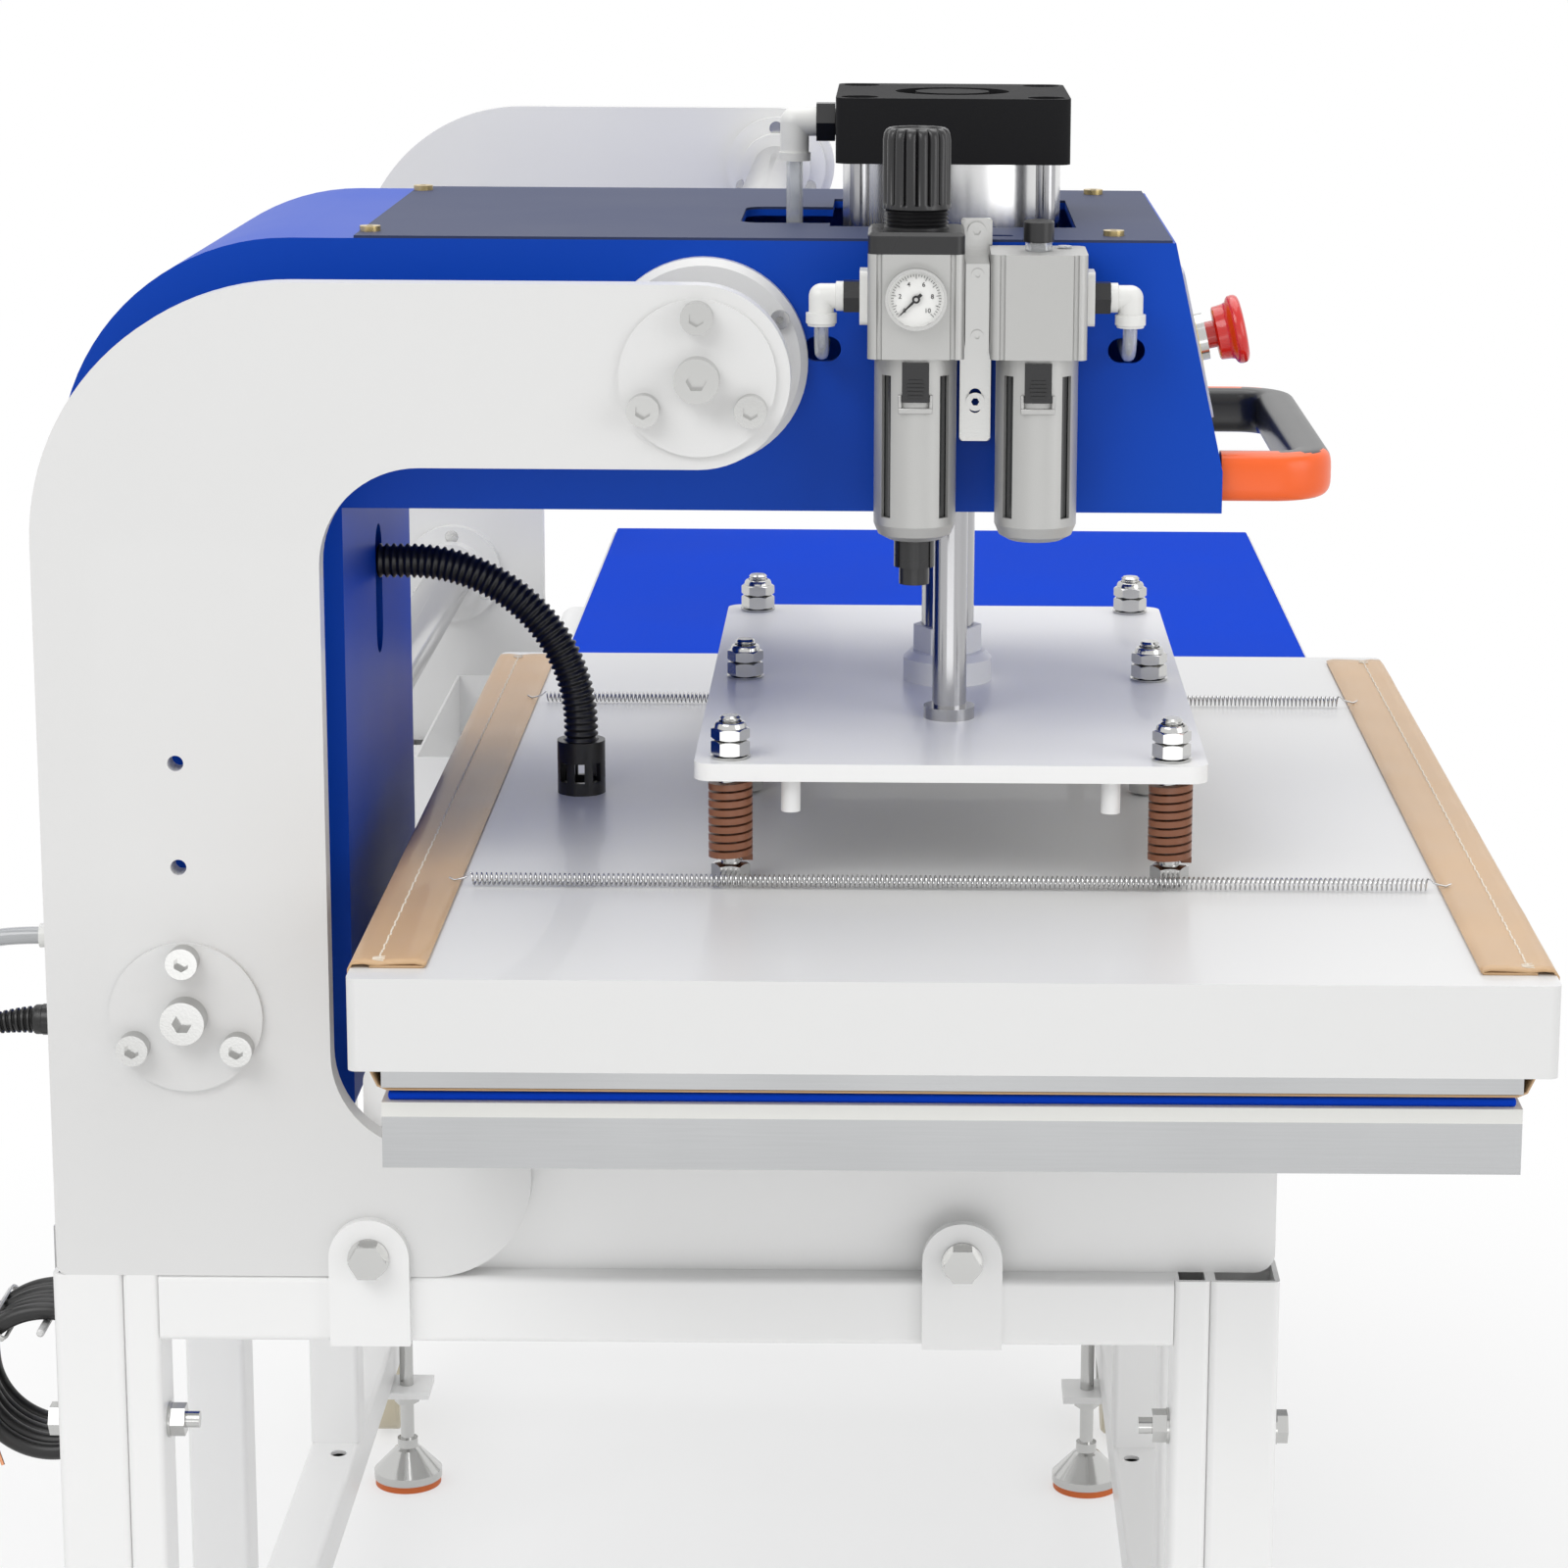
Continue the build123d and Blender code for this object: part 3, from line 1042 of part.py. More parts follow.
def cords():
    y, air_z, mains_z, fittings = rear_fittings()
    disc = RegularPolygon(cord_diameter / 2, 12)
    area = disc.area
    x = cheek_rear - 9.0
    out = cheek_rear - 84.0
    air = [
        Vector(x, y, air_z),
        Vector(x - 30.0, y, air_z),
        Vector(x - 57.0, y, air_z - 14.0),
        Vector(out, y, air_z - 42.0),
        Vector(out - 2.0, y, air_z - 92.0),
        Vector(out, y, air_z - 180.0),
        Vector(out - 3.0, y + 3.0, air_z - 320.0),
        Vector(out, y, air_z - 460.0),
        Vector(out - 2.0, y + 1.0, air_z - 600.0),
        Vector(out, y, 146.0),
        Vector(out - 1.0, y + 5.0, 84.0),
        Vector(out, y + 26.0, 40.0),
        Vector(out + 1.0, y + 66.0, 12.0),
        Vector(out + 3.0, y + 125.0, cord_diameter / 2 + 0.05),
        Vector(out + 14.0, y + 225.0, cord_diameter / 2 + 0.05),
        Vector(out + 8.0, y + 325.0, cord_diameter / 2 + 0.05),
    ]
    radii = bend_radii(air)
    print("air hose radii", [round(r) for r in radii])
    path, solid = bent_tube(air, radii, disc)
    report_tube("air hose", path, solid, area)
    end, heading = path @ 1, path % 1
    plug = extrude(Plane(end, z_dir=heading) * (Circle(4.9) - Circle(2.0)), amount=30.0)
    save("air_hose", solid, plug)
    save("rear_fittings", *fittings)
    # Mains lead: down from its gland into a tied coil behind the near rear leg
    centre_x = stand_rear - 16.0
    centre_z = rail_bottom - 46.0
    first_y = -stand_half + tube + 61.0
    pitch = -(cord_diameter + 1.0)
    left = centre_x - coil_radius
    # the coil turns about Y, from its leftmost point downwards, towards the near end
    slope = pitch / (8 * coil_radius)
    heading = Vector(0.0, slope, -1.0)
    join = Vector(left, first_y, centre_z)
    lead = [
        Vector(x, y, mains_z),
        Vector(x - 22.5, y, mains_z),
        Vector(x - 50.5, y + 1.0, mains_z - 11.0),
        Vector(x - 68.5, y + 5.5, mains_z - 34.0),
        Vector(x - 73.0, y + 13.0, mains_z - 62.5),
        Vector(x - 70.0, y + 37.5, mains_z - 95.5),
        Vector(left, first_y - slope * 63.0, centre_z + 63.0),
        join,
    ]
    radii = bend_radii(lead)
    print("mains radii", [round(r) for r in radii])
    path, solid = bent_tube(lead, radii, disc)
    report_tube("mains lead", path, solid, area)
    save("mains_lead", solid)
    edges = []
    for quarter in range(4 * coil_turns):
        a, b = math.radians(180 + 90 * quarter), math.radians(180 + 90 * (quarter + 1))
        start = (centre_x + coil_radius * math.cos(a), first_y + pitch * quarter / 4, centre_z + coil_radius * math.sin(a))
        end = (
            centre_x + coil_radius * math.cos(b),
            first_y + pitch * (quarter + 1) / 4,
            centre_z + coil_radius * math.sin(b),
        )
        edges.append(TangentArc(start, end, tangent=(-math.sin(a), slope, math.cos(a))))
    path = Wire(edges)
    coil = sweep(Plane(path @ 0, z_dir=path % 0) * disc, path)
    report_tube("coil", path, coil, area)
    print("coil gap", round(abs(pitch) - cord_diameter, 2))
    # Bare ends: three cores out of the sheath
    end = path @ 1
    cores = []
    for offset, lean in ((-3.0, -10.0), (0.0, 2.0), (3.0, 14.0)):
        top = Vector(end.X + offset, end.Y, end.Z - 0.0)
        middle = Vector(end.X + offset + lean * 0.4, end.Y - 4.0, end.Z - 22.0)
        tip = Vector(end.X + offset + lean, end.Y - 12.0, end.Z - 46.0)
        track = Polyline(top, middle, tip)
        one = [top, middle, tip]
        cores.append(bent_tube(one, bend_radii(one), Circle(1.4))[1])
    save("mains_coil", coil, *cores)


def main():
    bolts = stand()
    plates, tab_bolts = tabs()
    lugs = feet_and_casters()
    save("stand_brackets", *plates, *lugs)
    cheeks()
    shaft_bolts = guide_shafts()
    save("frame_bolts", *bolts, *tab_bolts, *shaft_bolts)
    base_box()
    tables()
    head()
    head_trim()
    handle()
    bearings()
    fittings, supply = cylinder()
    pieces, tubes = air_unit()
    save("air_fittings", *fittings, *pieces)
    save("air_tubes", supply, *tubes)
    pressure_assembly()
    platen()
    springs()
    heater_hose()
    cords()


main()
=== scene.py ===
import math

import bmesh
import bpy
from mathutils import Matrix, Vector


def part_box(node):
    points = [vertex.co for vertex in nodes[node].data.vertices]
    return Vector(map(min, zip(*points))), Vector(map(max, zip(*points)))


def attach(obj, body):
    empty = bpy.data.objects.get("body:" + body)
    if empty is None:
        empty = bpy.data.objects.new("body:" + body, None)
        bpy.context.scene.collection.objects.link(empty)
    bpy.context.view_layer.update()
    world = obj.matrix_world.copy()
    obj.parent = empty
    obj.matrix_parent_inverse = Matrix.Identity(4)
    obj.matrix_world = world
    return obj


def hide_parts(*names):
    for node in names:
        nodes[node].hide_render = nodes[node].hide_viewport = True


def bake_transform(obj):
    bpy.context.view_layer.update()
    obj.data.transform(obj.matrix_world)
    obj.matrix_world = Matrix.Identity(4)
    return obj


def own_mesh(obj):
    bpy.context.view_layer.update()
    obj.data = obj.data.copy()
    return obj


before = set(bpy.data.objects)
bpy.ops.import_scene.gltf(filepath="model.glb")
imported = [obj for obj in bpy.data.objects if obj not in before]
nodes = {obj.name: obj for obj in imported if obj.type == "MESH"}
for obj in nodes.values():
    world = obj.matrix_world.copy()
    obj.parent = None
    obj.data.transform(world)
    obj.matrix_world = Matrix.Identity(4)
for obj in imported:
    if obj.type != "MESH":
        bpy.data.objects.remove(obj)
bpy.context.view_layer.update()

# %% [markdown]
# A dual station heat press: two tables on a square-tube stand, and a blue head that slides between them.
# Every rigid piece arrives already shaped, in metres, with the floor at Z = 0. This notebook gives each
# piece its finish, and remakes what a rigid solid can't show: cords, springs, the ribbed hose, the sheet
# of coated cloth and the foam pads.

station_x = sum(c.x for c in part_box("table_pads")) / 2
heater_low, heater_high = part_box("heater_plate")
near_y = (heater_low.y + heater_high.y) / 2
cheek_low, cheek_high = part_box("near_cheek")
print("station at", round(station_x, 4), round(near_y, 4))


def mm(value):
    return value / 1000


# %% [markdown]
# The camera stands where the photograph was taken: 1.46 m up, almost 3 m from the machine's middle, and
# tipped down by 11.8 degrees. The lens is long, so upright edges stay nearly parallel. The shift moves
# the picture's frame without turning the camera, as a cropped photograph does.

# %% Camera
camera_height = 1.455
camera_distance = 2.9097
camera_offset = -0.0285
camera_tilt = 11.804
camera_roll = 0.373

camera_data = bpy.data.cameras.new("press_camera")
camera_data.lens = 93.15
camera_data.sensor_width = 36
camera_data.shift_x = -0.0745
camera_data.shift_y = -0.075
camera_data.clip_end = 50
camera = bpy.data.objects.new("press_camera", camera_data)
bpy.context.collection.objects.link(camera)
tilted = Matrix.Rotation(math.radians(90 - camera_tilt), 4, "X")
aim = tilted @ Matrix.Rotation(math.radians(camera_roll), 4, "Z")
camera.matrix_world = Matrix.Translation((station_x + camera_offset, -camera_distance, camera_height)) @ aim
bpy.context.scene.camera = camera
print("camera at", [round(v, 3) for v in camera.location])

# %% [markdown]
# Most pieces below are made of rings. A ring of points is laid across a path or a lathe's axis, the next
# ring is laid further on, and bridge_loops puts faces between them. One helper makes a piece from a
# function that sculpts it, another lays a ring, and a third joins rings and closes the two ends. A plain
# block comes from a cube that is stretched between two corners.

# %% Mesh helpers
def new_piece(name, mesh_maker, materials, body, smooth_angle=40):
    mesh = bpy.data.meshes.new(name)
    sculpt = bmesh.new()
    mesh_maker(sculpt)
    bmesh.ops.recalc_face_normals(sculpt, faces=sculpt.faces)
    sculpt.to_mesh(mesh)
    sculpt.free()
    for material in materials:
        mesh.materials.append(material)
    mesh.shade_smooth()
    mesh.set_sharp_from_angle(angle=math.radians(smooth_angle))
    piece = bpy.data.objects.new(name, mesh)
    bpy.context.collection.objects.link(piece)
    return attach(piece, body)


def lay_ring(sculpt, centre, one, two, outline):
    """A closed ring: each (u, v) of the outline lies u along one and v along two from the centre."""
    made = bmesh.ops.create_circle(sculpt, cap_ends=False, segments=len(outline), radius=1)["verts"]
    for vertex, (u, v) in zip(made, outline):
        vertex.co = centre + one * u + two * v
    return list({edge for vertex in made for edge in vertex.link_edges})


def round_outline(radius, segments=32):
    turn = 2 * math.pi / segments
    return [(radius * math.cos(turn * k), radius * math.sin(turn * k)) for k in range(segments)]


def join_rings(sculpt, rings, closed=True):
    for before, after in zip(rings, rings[1:]):
        bmesh.ops.bridge_loops(sculpt, edges=before + after)
    if closed:
        bmesh.ops.holes_fill(sculpt, edges=rings[0] + rings[-1], sides=0)


def lathe(sculpt, centre, axis, profile, segments=32):
    """Rings round an axis. The profile is a list of (distance along the axis, radius)."""
    one = axis.orthogonal().normalized()
    two = axis.cross(one)
    rings = []
    for far, radius in profile:
        outline = round_outline(radius, segments)
        rings.append(lay_ring(sculpt, centre + axis * far, one, two, outline))
    join_rings(sculpt, rings)


def box_between(sculpt, low, high):
    made = bmesh.ops.create_cube(sculpt, size=1)["verts"]
    low, high = Vector(low), Vector(high)
    bmesh.ops.scale(sculpt, vec=high - low, verts=made)
    bmesh.ops.translate(sculpt, vec=(low + high) / 2, verts=made)
    return made


# %% [markdown]
# A cord is a curve with a round bevel, so it keeps one thickness along its length. A NURBS spline of
# order 3 rounds every control point by itself, which is how a stiff lead bends. Order and end points are
# set after the points, because a new spline has too few points to hold them. The cord's radius is given
# at its points, with a bevel depth of 1, so that the curve's box is as slim as the cord.

# %% Cord helper
def smooth_curve(name, points, diameter, body, closed_ends=True):
    data = bpy.data.curves.new(name, "CURVE")
    data.dimensions = "3D"
    data.bevel_depth = 1.0
    data.bevel_resolution = 5
    data.resolution_u = 8
    data.use_fill_caps = closed_ends
    spline = data.splines.new("NURBS")
    spline.points.add(len(points) - 1)
    for place, point in zip(spline.points, points):
        place.co = (*point, 1)
        place.radius = diameter / 2
    spline.order_u = 3
    spline.use_endpoint_u = True
    piece = bpy.data.objects.new(name, data)
    bpy.context.collection.objects.link(piece)
    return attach(piece, body)


def centreline(piece):
    """The points of a curve's own line, read without its bevel."""
    depth, piece.data.bevel_depth = piece.data.bevel_depth, 0
    graph = bpy.context.evaluated_depsgraph_get()
    graph.update()
    line = bpy.data.meshes.new_from_object(piece.evaluated_get(graph))
    points = [vertex.co.copy() for vertex in line.vertices]
    bpy.data.meshes.remove(line)
    piece.data.bevel_depth = depth
    return points


def line_length(piece):
    points = centreline(piece)
    return sum((b - a).length for a, b in zip(points, points[1:]))


# %% [markdown]
# The air hose and the mains lead both leave a bracket on the rear edge of the near cheek. The lead drops
# into a coil of five turns that is tied up behind the leg, with its three cores left bare for wiring.
# The air hose hangs clear of the casters, and its plug lies on the floor.

# %% Air hose and mains lead
cord_diameter = 0.010
cheek_rear = cheek_low.x
cord_y = cheek_low.y + 0.032
rail_top = cheek_low.z
exit_x = cheek_rear - 0.009
out_x = cheek_rear - 0.084
air_z = rail_top + 0.193
mains_z = rail_top + 0.143
floor_z = 0.00505

air_points = [
    (exit_x, cord_y, air_z),
    (exit_x - 0.030, cord_y, air_z),
    (exit_x - 0.057, cord_y, air_z - 0.014),
    (out_x, cord_y, air_z - 0.042),
    (out_x - 0.002, cord_y, air_z - 0.092),
    (out_x, cord_y, air_z - 0.180),
    (out_x - 0.003, cord_y + 0.003, air_z - 0.320),
    (out_x, cord_y, air_z - 0.460),
    (out_x - 0.002, cord_y + 0.001, air_z - 0.600),
    (out_x, cord_y, 0.146),
    (out_x - 0.001, cord_y + 0.005, 0.084),
    (out_x, cord_y + 0.026, 0.040),
    (out_x + 0.001, cord_y + 0.066, 0.012),
    (out_x + 0.003, cord_y + 0.125, floor_z),
    (out_x + 0.014, cord_y + 0.225, floor_z),
    (out_x + 0.008, cord_y + 0.325, floor_z),
]
air_hose = smooth_curve("air_supply_hose", air_points, cord_diameter, "stand")
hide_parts("air_hose")
air_length = line_length(air_hose)

coil_radius = 0.044
coil_turns = 5
coil_pitch = -(cord_diameter + 0.001)
coil_x = cheek_rear - 0.003 - 0.016
coil_z = rail_top - 0.086
coil_first_y = cheek_low.y + 0.101
coil_left = coil_x - coil_radius
slope = coil_pitch / (8 * coil_radius)
lead_points = [
    (exit_x, cord_y, mains_z),
    (exit_x - 0.0225, cord_y, mains_z),
    (exit_x - 0.0505, cord_y + 0.001, mains_z - 0.011),
    (exit_x - 0.0685, cord_y + 0.0055, mains_z - 0.034),
    (exit_x - 0.073, cord_y + 0.013, mains_z - 0.0625),
    (exit_x - 0.070, cord_y + 0.0375, mains_z - 0.0955),
    (coil_left, coil_first_y - slope * 0.063, coil_z + 0.063),
]
steps = 16
swell = 1 / math.cos(math.pi / steps)
coil_points = []
for step in range(coil_turns * steps + 1):
    angle = math.pi + 2 * math.pi * step / steps
    reach = coil_radius * swell + 0.0012 * math.sin(1.7 * step / steps)
    coil_points.append(
        (
            coil_x + reach * math.cos(angle),
            coil_first_y + coil_pitch * step / steps,
            coil_z + reach * math.sin(angle),
        )
    )
mains = smooth_curve("mains_cable", lead_points + coil_points, cord_diameter, "stand")
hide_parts("mains_lead", "mains_coil")
mains_length = line_length(mains)
print("air hose", round(air_length, 3), "m; mains lead", round(mains_length, 3), "m")

# %% [markdown]
# The three cores are thin insulated wires that leave the cut end of the sheath. Each ends in a few
# millimetres of bare copper.

# %% Bare cores
core_diameter = 0.0030
sheath_end = Vector(coil_points[-1])
cores = []
core_plan = (("blue_core", -0.003, -0.010), ("earth_core", 0.000, 0.002), ("brown_core", 0.003, 0.014))
for core_name, offset, lean in core_plan:
    top = sheath_end + Vector((offset * 0.6, 0, 0.003))
    run = [
        top,
        top + Vector((offset * 0.4 + lean * 0.1, -0.001, -0.012)),
        top + Vector((offset + lean * 0.5, -0.004, -0.026)),
        top + Vector((offset + lean * 0.9, -0.008, -0.040)),
    ]
    core = smooth_curve(core_name, run, core_diameter, "stand")
    tip = smooth_curve(
        core_name + "_copper", [run[-1], run[-1] + Vector((lean * 0.25, -0.002, -0.009))], 0.0022, "stand",
    )
    cores += [core, tip]

# %% [markdown]
# Shader node groups hold what many finishes share. Powder coat has a fine orange peel and a faint change
# of tone. Machined metal is brushed one way. Moulded plastic has a fine, even grain. Each group puts out a
# colour, a roughness and a height, and every material feeds them with its own values.

# %% Node groups
def new_group(name, inputs):
    group = bpy.data.node_groups.new(name, "ShaderNodeTree")
    for label, kind, value in inputs:
        socket = group.interface.new_socket(label, in_out="INPUT", socket_type=kind)
        socket.default_value = value
    for label, kind in (
        ("Color", "NodeSocketColor"), ("Roughness", "NodeSocketFloat"), ("Height", "NodeSocketFloat"),
    ):
        group.interface.new_socket(label, in_out="OUTPUT", socket_type=kind)
    entry = group.nodes.new("NodeGroupInput")
    out = group.nodes.new("NodeGroupOutput")
    return group, entry, out


def add_math(group, operation, one, two=0.0):
    node = group.nodes.new("ShaderNodeMath")
    node.operation = operation
    for socket, value in zip(node.inputs, (one, two)):
        if isinstance(value, (int, float)):
            socket.default_value = value
        else:
            group.links.new(value, socket)
    return node.outputs[0]


def add_noise(group, vector, scale, detail=2.0, rough=0.5):
    node = group.nodes.new("ShaderNodeTexNoise")
    node.inputs["Detail"].default_value = detail
    node.inputs["Roughness"].default_value = rough
    if isinstance(scale, (int, float)):
        node.inputs["Scale"].default_value = scale
    else:
        group.links.new(scale, node.inputs["Scale"])
    group.links.new(vector, node.inputs["Vector"])
    return node.outputs["Fac"]


def tone_mix(group, color, amount, mask):
    """The colour, lighter and darker by the amount where the mask says."""
    centred = add_math(group, "SUBTRACT", mask, 0.5)
    change = add_math(group, "MULTIPLY_ADD", centred, amount)
    change.node.inputs[2].default_value = 1.0
    scaled = group.nodes.new("ShaderNodeVectorMath")
    scaled.operation = "SCALE"
    group.links.new(color, scaled.inputs[0])
    group.links.new(change, scaled.inputs["Scale"])
    return scaled.outputs[0]


common_inputs = (
    ("Color", "NodeSocketColor", (0.8, 0.8, 0.8, 1)),
    ("Tone", "NodeSocketFloat", 0.1),
    ("Roughness", "NodeSocketFloat", 0.4),
    ("Spread", "NodeSocketFloat", 0.1),
    ("Scale", "NodeSocketFloat", 400.0),
)


def coat_group():
    group, entry, out = new_group("powder_coat", common_inputs)
    place = group.nodes.new("ShaderNodeTexCoord").outputs["Object"]
    peel = add_noise(group, place, entry.outputs["Scale"], 1.0)
    cloud = add_noise(group, place, 6.0, 3.0)
    group.links.new(
        tone_mix(group, entry.outputs["Color"], entry.outputs["Tone"], cloud), out.inputs["Color"],
    )
    swing = add_math(group, "MULTIPLY", add_math(group, "SUBTRACT", cloud, 0.5), entry.outputs["Spread"])
    group.links.new(add_math(group, "ADD", swing, entry.outputs["Roughness"]), out.inputs["Roughness"])
    group.links.new(peel, out.inputs["Height"])
    return group


def brushed_group(name, stretch):
    group, entry, out = new_group(name, common_inputs)
    place = group.nodes.new("ShaderNodeTexCoord").outputs["Object"]
    mapping = group.nodes.new("ShaderNodeMapping")
    mapping.inputs["Scale"].default_value = stretch
    group.links.new(place, mapping.inputs["Vector"])
    lines = add_noise(group, mapping.outputs[0], entry.outputs["Scale"], 3.0, 0.6)
    cloud = add_noise(group, place, 9.0, 2.0)
    group.links.new(
        tone_mix(group, entry.outputs["Color"], entry.outputs["Tone"], lines), out.inputs["Color"],
    )
    both = add_math(group, "ADD", lines, cloud)
    swing = add_math(group, "MULTIPLY", add_math(group, "SUBTRACT", both, 1.0), entry.outputs["Spread"])
    group.links.new(add_math(group, "ADD", swing, entry.outputs["Roughness"]), out.inputs["Roughness"])
    group.links.new(lines, out.inputs["Height"])
    return group


def weave_group():
    group, entry, out = new_group("plain_weave", common_inputs)
    place = group.nodes.new("ShaderNodeTexCoord").outputs["Object"]
    waves = []
    for direction in ("X", "Y"):
        wave = group.nodes.new("ShaderNodeTexWave")
        wave.bands_direction = direction
        wave.inputs["Distortion"].default_value = 0.15
        group.links.new(entry.outputs["Scale"], wave.inputs["Scale"])
        group.links.new(place, wave.inputs["Vector"])
        waves.append(wave.outputs["Fac"])
    threads = add_math(group, "MULTIPLY", waves[0], waves[1])
    cloud = add_noise(group, place, 14.0, 4.0, 0.6)
    mottle = add_math(group, "MULTIPLY_ADD", threads, 0.5)
    group.links.new(cloud, mottle.node.inputs[2])
    group.links.new(
        tone_mix(group, entry.outputs["Color"], entry.outputs["Tone"], mottle), out.inputs["Color"],
    )
    swing = add_math(group, "MULTIPLY", add_math(group, "SUBTRACT", cloud, 0.5), entry.outputs["Spread"])
    group.links.new(add_math(group, "ADD", swing, entry.outputs["Roughness"]), out.inputs["Roughness"])
    group.links.new(threads, out.inputs["Height"])
    return group


coat = coat_group()
brushed_x = brushed_group("brushed_along_x", (0.02, 1.0, 1.0))
brushed_y = brushed_group("brushed_along_y", (1.0, 0.02, 1.0))
brushed_z = brushed_group("brushed_along_z", (1.0, 1.0, 0.02))
weave = weave_group()
print("node groups:", [g.name for g in bpy.data.node_groups])


# %% [markdown]
# One function makes a finish from a group. The shader itself stays in the material. Its metallic, coat
# and transmission values are plain numbers on their own sockets, so they survive an export.

# %% Finish helper
def finish(
    name, group, color, tone=0.06, rough=0.4, spread=0.1, scale=400.0, bump=0.05, depth=0.0002, **sockets,
):
    material = bpy.data.materials.new(name)
    material.use_nodes = True
    tree = material.node_tree
    shader = tree.nodes["Principled BSDF"]
    shared = tree.nodes.new("ShaderNodeGroup")
    shared.node_tree = group
    shared.inputs["Color"].default_value = (*color, 1)
    for label, value in (("Tone", tone), ("Roughness", rough), ("Spread", spread), ("Scale", scale)):
        shared.inputs[label].default_value = value
    tree.links.new(shared.outputs["Color"], shader.inputs["Base Color"])
    tree.links.new(shared.outputs["Roughness"], shader.inputs["Roughness"])
    relief = tree.nodes.new("ShaderNodeBump")
    relief.inputs["Strength"].default_value = bump
    relief.inputs["Distance"].default_value = depth
    tree.links.new(shared.outputs["Height"], relief.inputs["Height"])
    tree.links.new(relief.outputs[0], shader.inputs["Normal"])
    for label, value in sockets.items():
        shader.inputs[label.replace("_", " ")].default_value = value
    return material


white_coat = finish(
    "white_powder_coat", coat, (0.71, 0.71, 0.705), 0.03, 0.36, 0.10, 900, 0.12, Coat_Weight=0.15,
)
# The frame's coat is the white coat made lighter: its extra brightness is painted light, standing in for
# light the frame catches.
frame_coat_painted_light = finish(
    "white_coat_painted_lighter", coat, (0.85, 0.85, 0.845), 0.03, 0.36, 0.10, 900, 0.12, Coat_Weight=0.15,
)
blue_coat = finish(
    "blue_powder_coat", coat, (0.001, 0.056, 0.45), 0.08, 0.42, 0.10, 900, 0.15, Specular_IOR_Level=0.16,
)
lid_coat = finish(
    "dark_blue_powder_coat", coat, (0.030, 0.042, 0.100), 0.15, 0.56, 0.12, 700, 0.45, Specular_IOR_Level=0.2,
)
black_coat = finish(
    "black_fine_texture", coat, (0.014, 0.014, 0.015), 0.3, 0.66, 0.12, 1600, 0.35, Specular_IOR_Level=0.08,
)
black_plastic = finish("black_moulded_plastic", coat, (0.012, 0.012, 0.013), 0.2, 0.28, 0.12, 1200, 0.15)
hose_plastic = finish("hose_plastic", coat, (0.010, 0.010, 0.011), 0.2, 0.36, 0.10, 800, 0.1)
white_plastic = finish("white_moulded_plastic", coat, (0.74, 0.74, 0.72), 0.04, 0.34, 0.08, 900, 0.08)
red_plastic = finish(
    "red_moulded_plastic", coat, (0.62, 0.012, 0.008), 0.08, 0.22, 0.08, 600, 0.05, Coat_Weight=0.4,
)
orange_plastic = finish("orange_moulded_plastic", coat, (0.88, 0.12, 0.012), 0.06, 0.32, 0.08, 700, 0.08)
yellow_print = finish("yellow_label_film", coat, (0.85, 0.60, 0.01), 0.03, 0.35, 0.06, 500, 0.03)
cream_nylon = finish("cream_nylon", coat, (0.66, 0.60, 0.46), 0.08, 0.42, 0.12, 300, 0.1)
rubber = finish("black_cable_rubber", coat, (0.012, 0.012, 0.012), 0.3, 0.38, 0.12, 700, 0.08)
orange_rubber = finish("orange_rubber", coat, (0.66, 0.15, 0.03), 0.1, 0.5, 0.1, 500, 0.1)
grey_hose = finish("grey_air_hose", coat, (0.40, 0.41, 0.42), 0.1, 0.18, 0.08, 300, 0.04, Coat_Weight=0.5)
blue_core_skin = finish("blue_core_skin", coat, (0.02, 0.12, 0.55), 0.05, 0.35, 0.05, 500, 0.03)
earth_core_skin = finish("green_yellow_core_skin", coat, (0.60, 0.62, 0.02), 0.3, 0.35, 0.05, 60, 0.03)
brown_core_skin = finish("brown_core_skin", coat, (0.20, 0.075, 0.03), 0.05, 0.35, 0.05, 500, 0.03)
cast_silver = finish(
    "silver_painted_casting", coat, (0.45, 0.45, 0.44), 0.06, 0.40, 0.10, 1800, 0.3, Metallic=0.55,
)
board_white = finish("white_board_paint", coat, (0.76, 0.76, 0.73), 0.05, 0.55, 0.10, 300, 0.12)
mineral_mat = finish("mineral_mat", weave, (0.70, 0.66, 0.55), 0.2, 0.9, 0.05, 900, 0.3)
plate_aluminium = finish(
    "mill_aluminium", brushed_x, (0.40, 0.405, 0.41), 0.22, 0.34, 0.18, 700, 0.14, Metallic=1.0,
)
barrel_aluminium = finish(
    "drawn_aluminium", brushed_z, (0.72, 0.72, 0.72), 0.08, 0.24, 0.12, 500, 0.06, Metallic=1.0,
)
polished_y = finish(
    "polished_shaft_steel", brushed_y, (0.48, 0.48, 0.49), 0.08, 0.16, 0.08, 600, 0.02, Metallic=1.0,
)
polished_z = finish(
    "polished_rod_steel", brushed_z, (0.42, 0.42, 0.43), 0.08, 0.18, 0.08, 600, 0.02, Metallic=1.0,
)
zinc = finish("bright_zinc", coat, (0.56, 0.56, 0.55), 0.12, 0.17, 0.14, 700, 0.08, Metallic=1.0)
spring_wire_finish = finish(
    "spring_wire", brushed_x, (0.55, 0.55, 0.55), 0.12, 0.28, 0.15, 900, 0.05, Metallic=1.0,
)
die_brown = finish("brown_spring_paint", coat, (0.22, 0.080, 0.036), 0.15, 0.30, 0.12, 700, 0.15)
copper = finish("bare_copper", coat, (0.78, 0.36, 0.20), 0.15, 0.30, 0.15, 900, 0.2, Metallic=1.0)
bronze_disc = finish("brass_screw", coat, (0.62, 0.48, 0.22), 0.1, 0.28, 0.1, 700, 0.05, Metallic=1.0)
sheet_cloth = finish(
    "coated_glass_cloth", weave, (0.56, 0.36, 0.19), 0.22, 0.36, 0.12, 1500, 0.3, Coat_Weight=0.15,
)
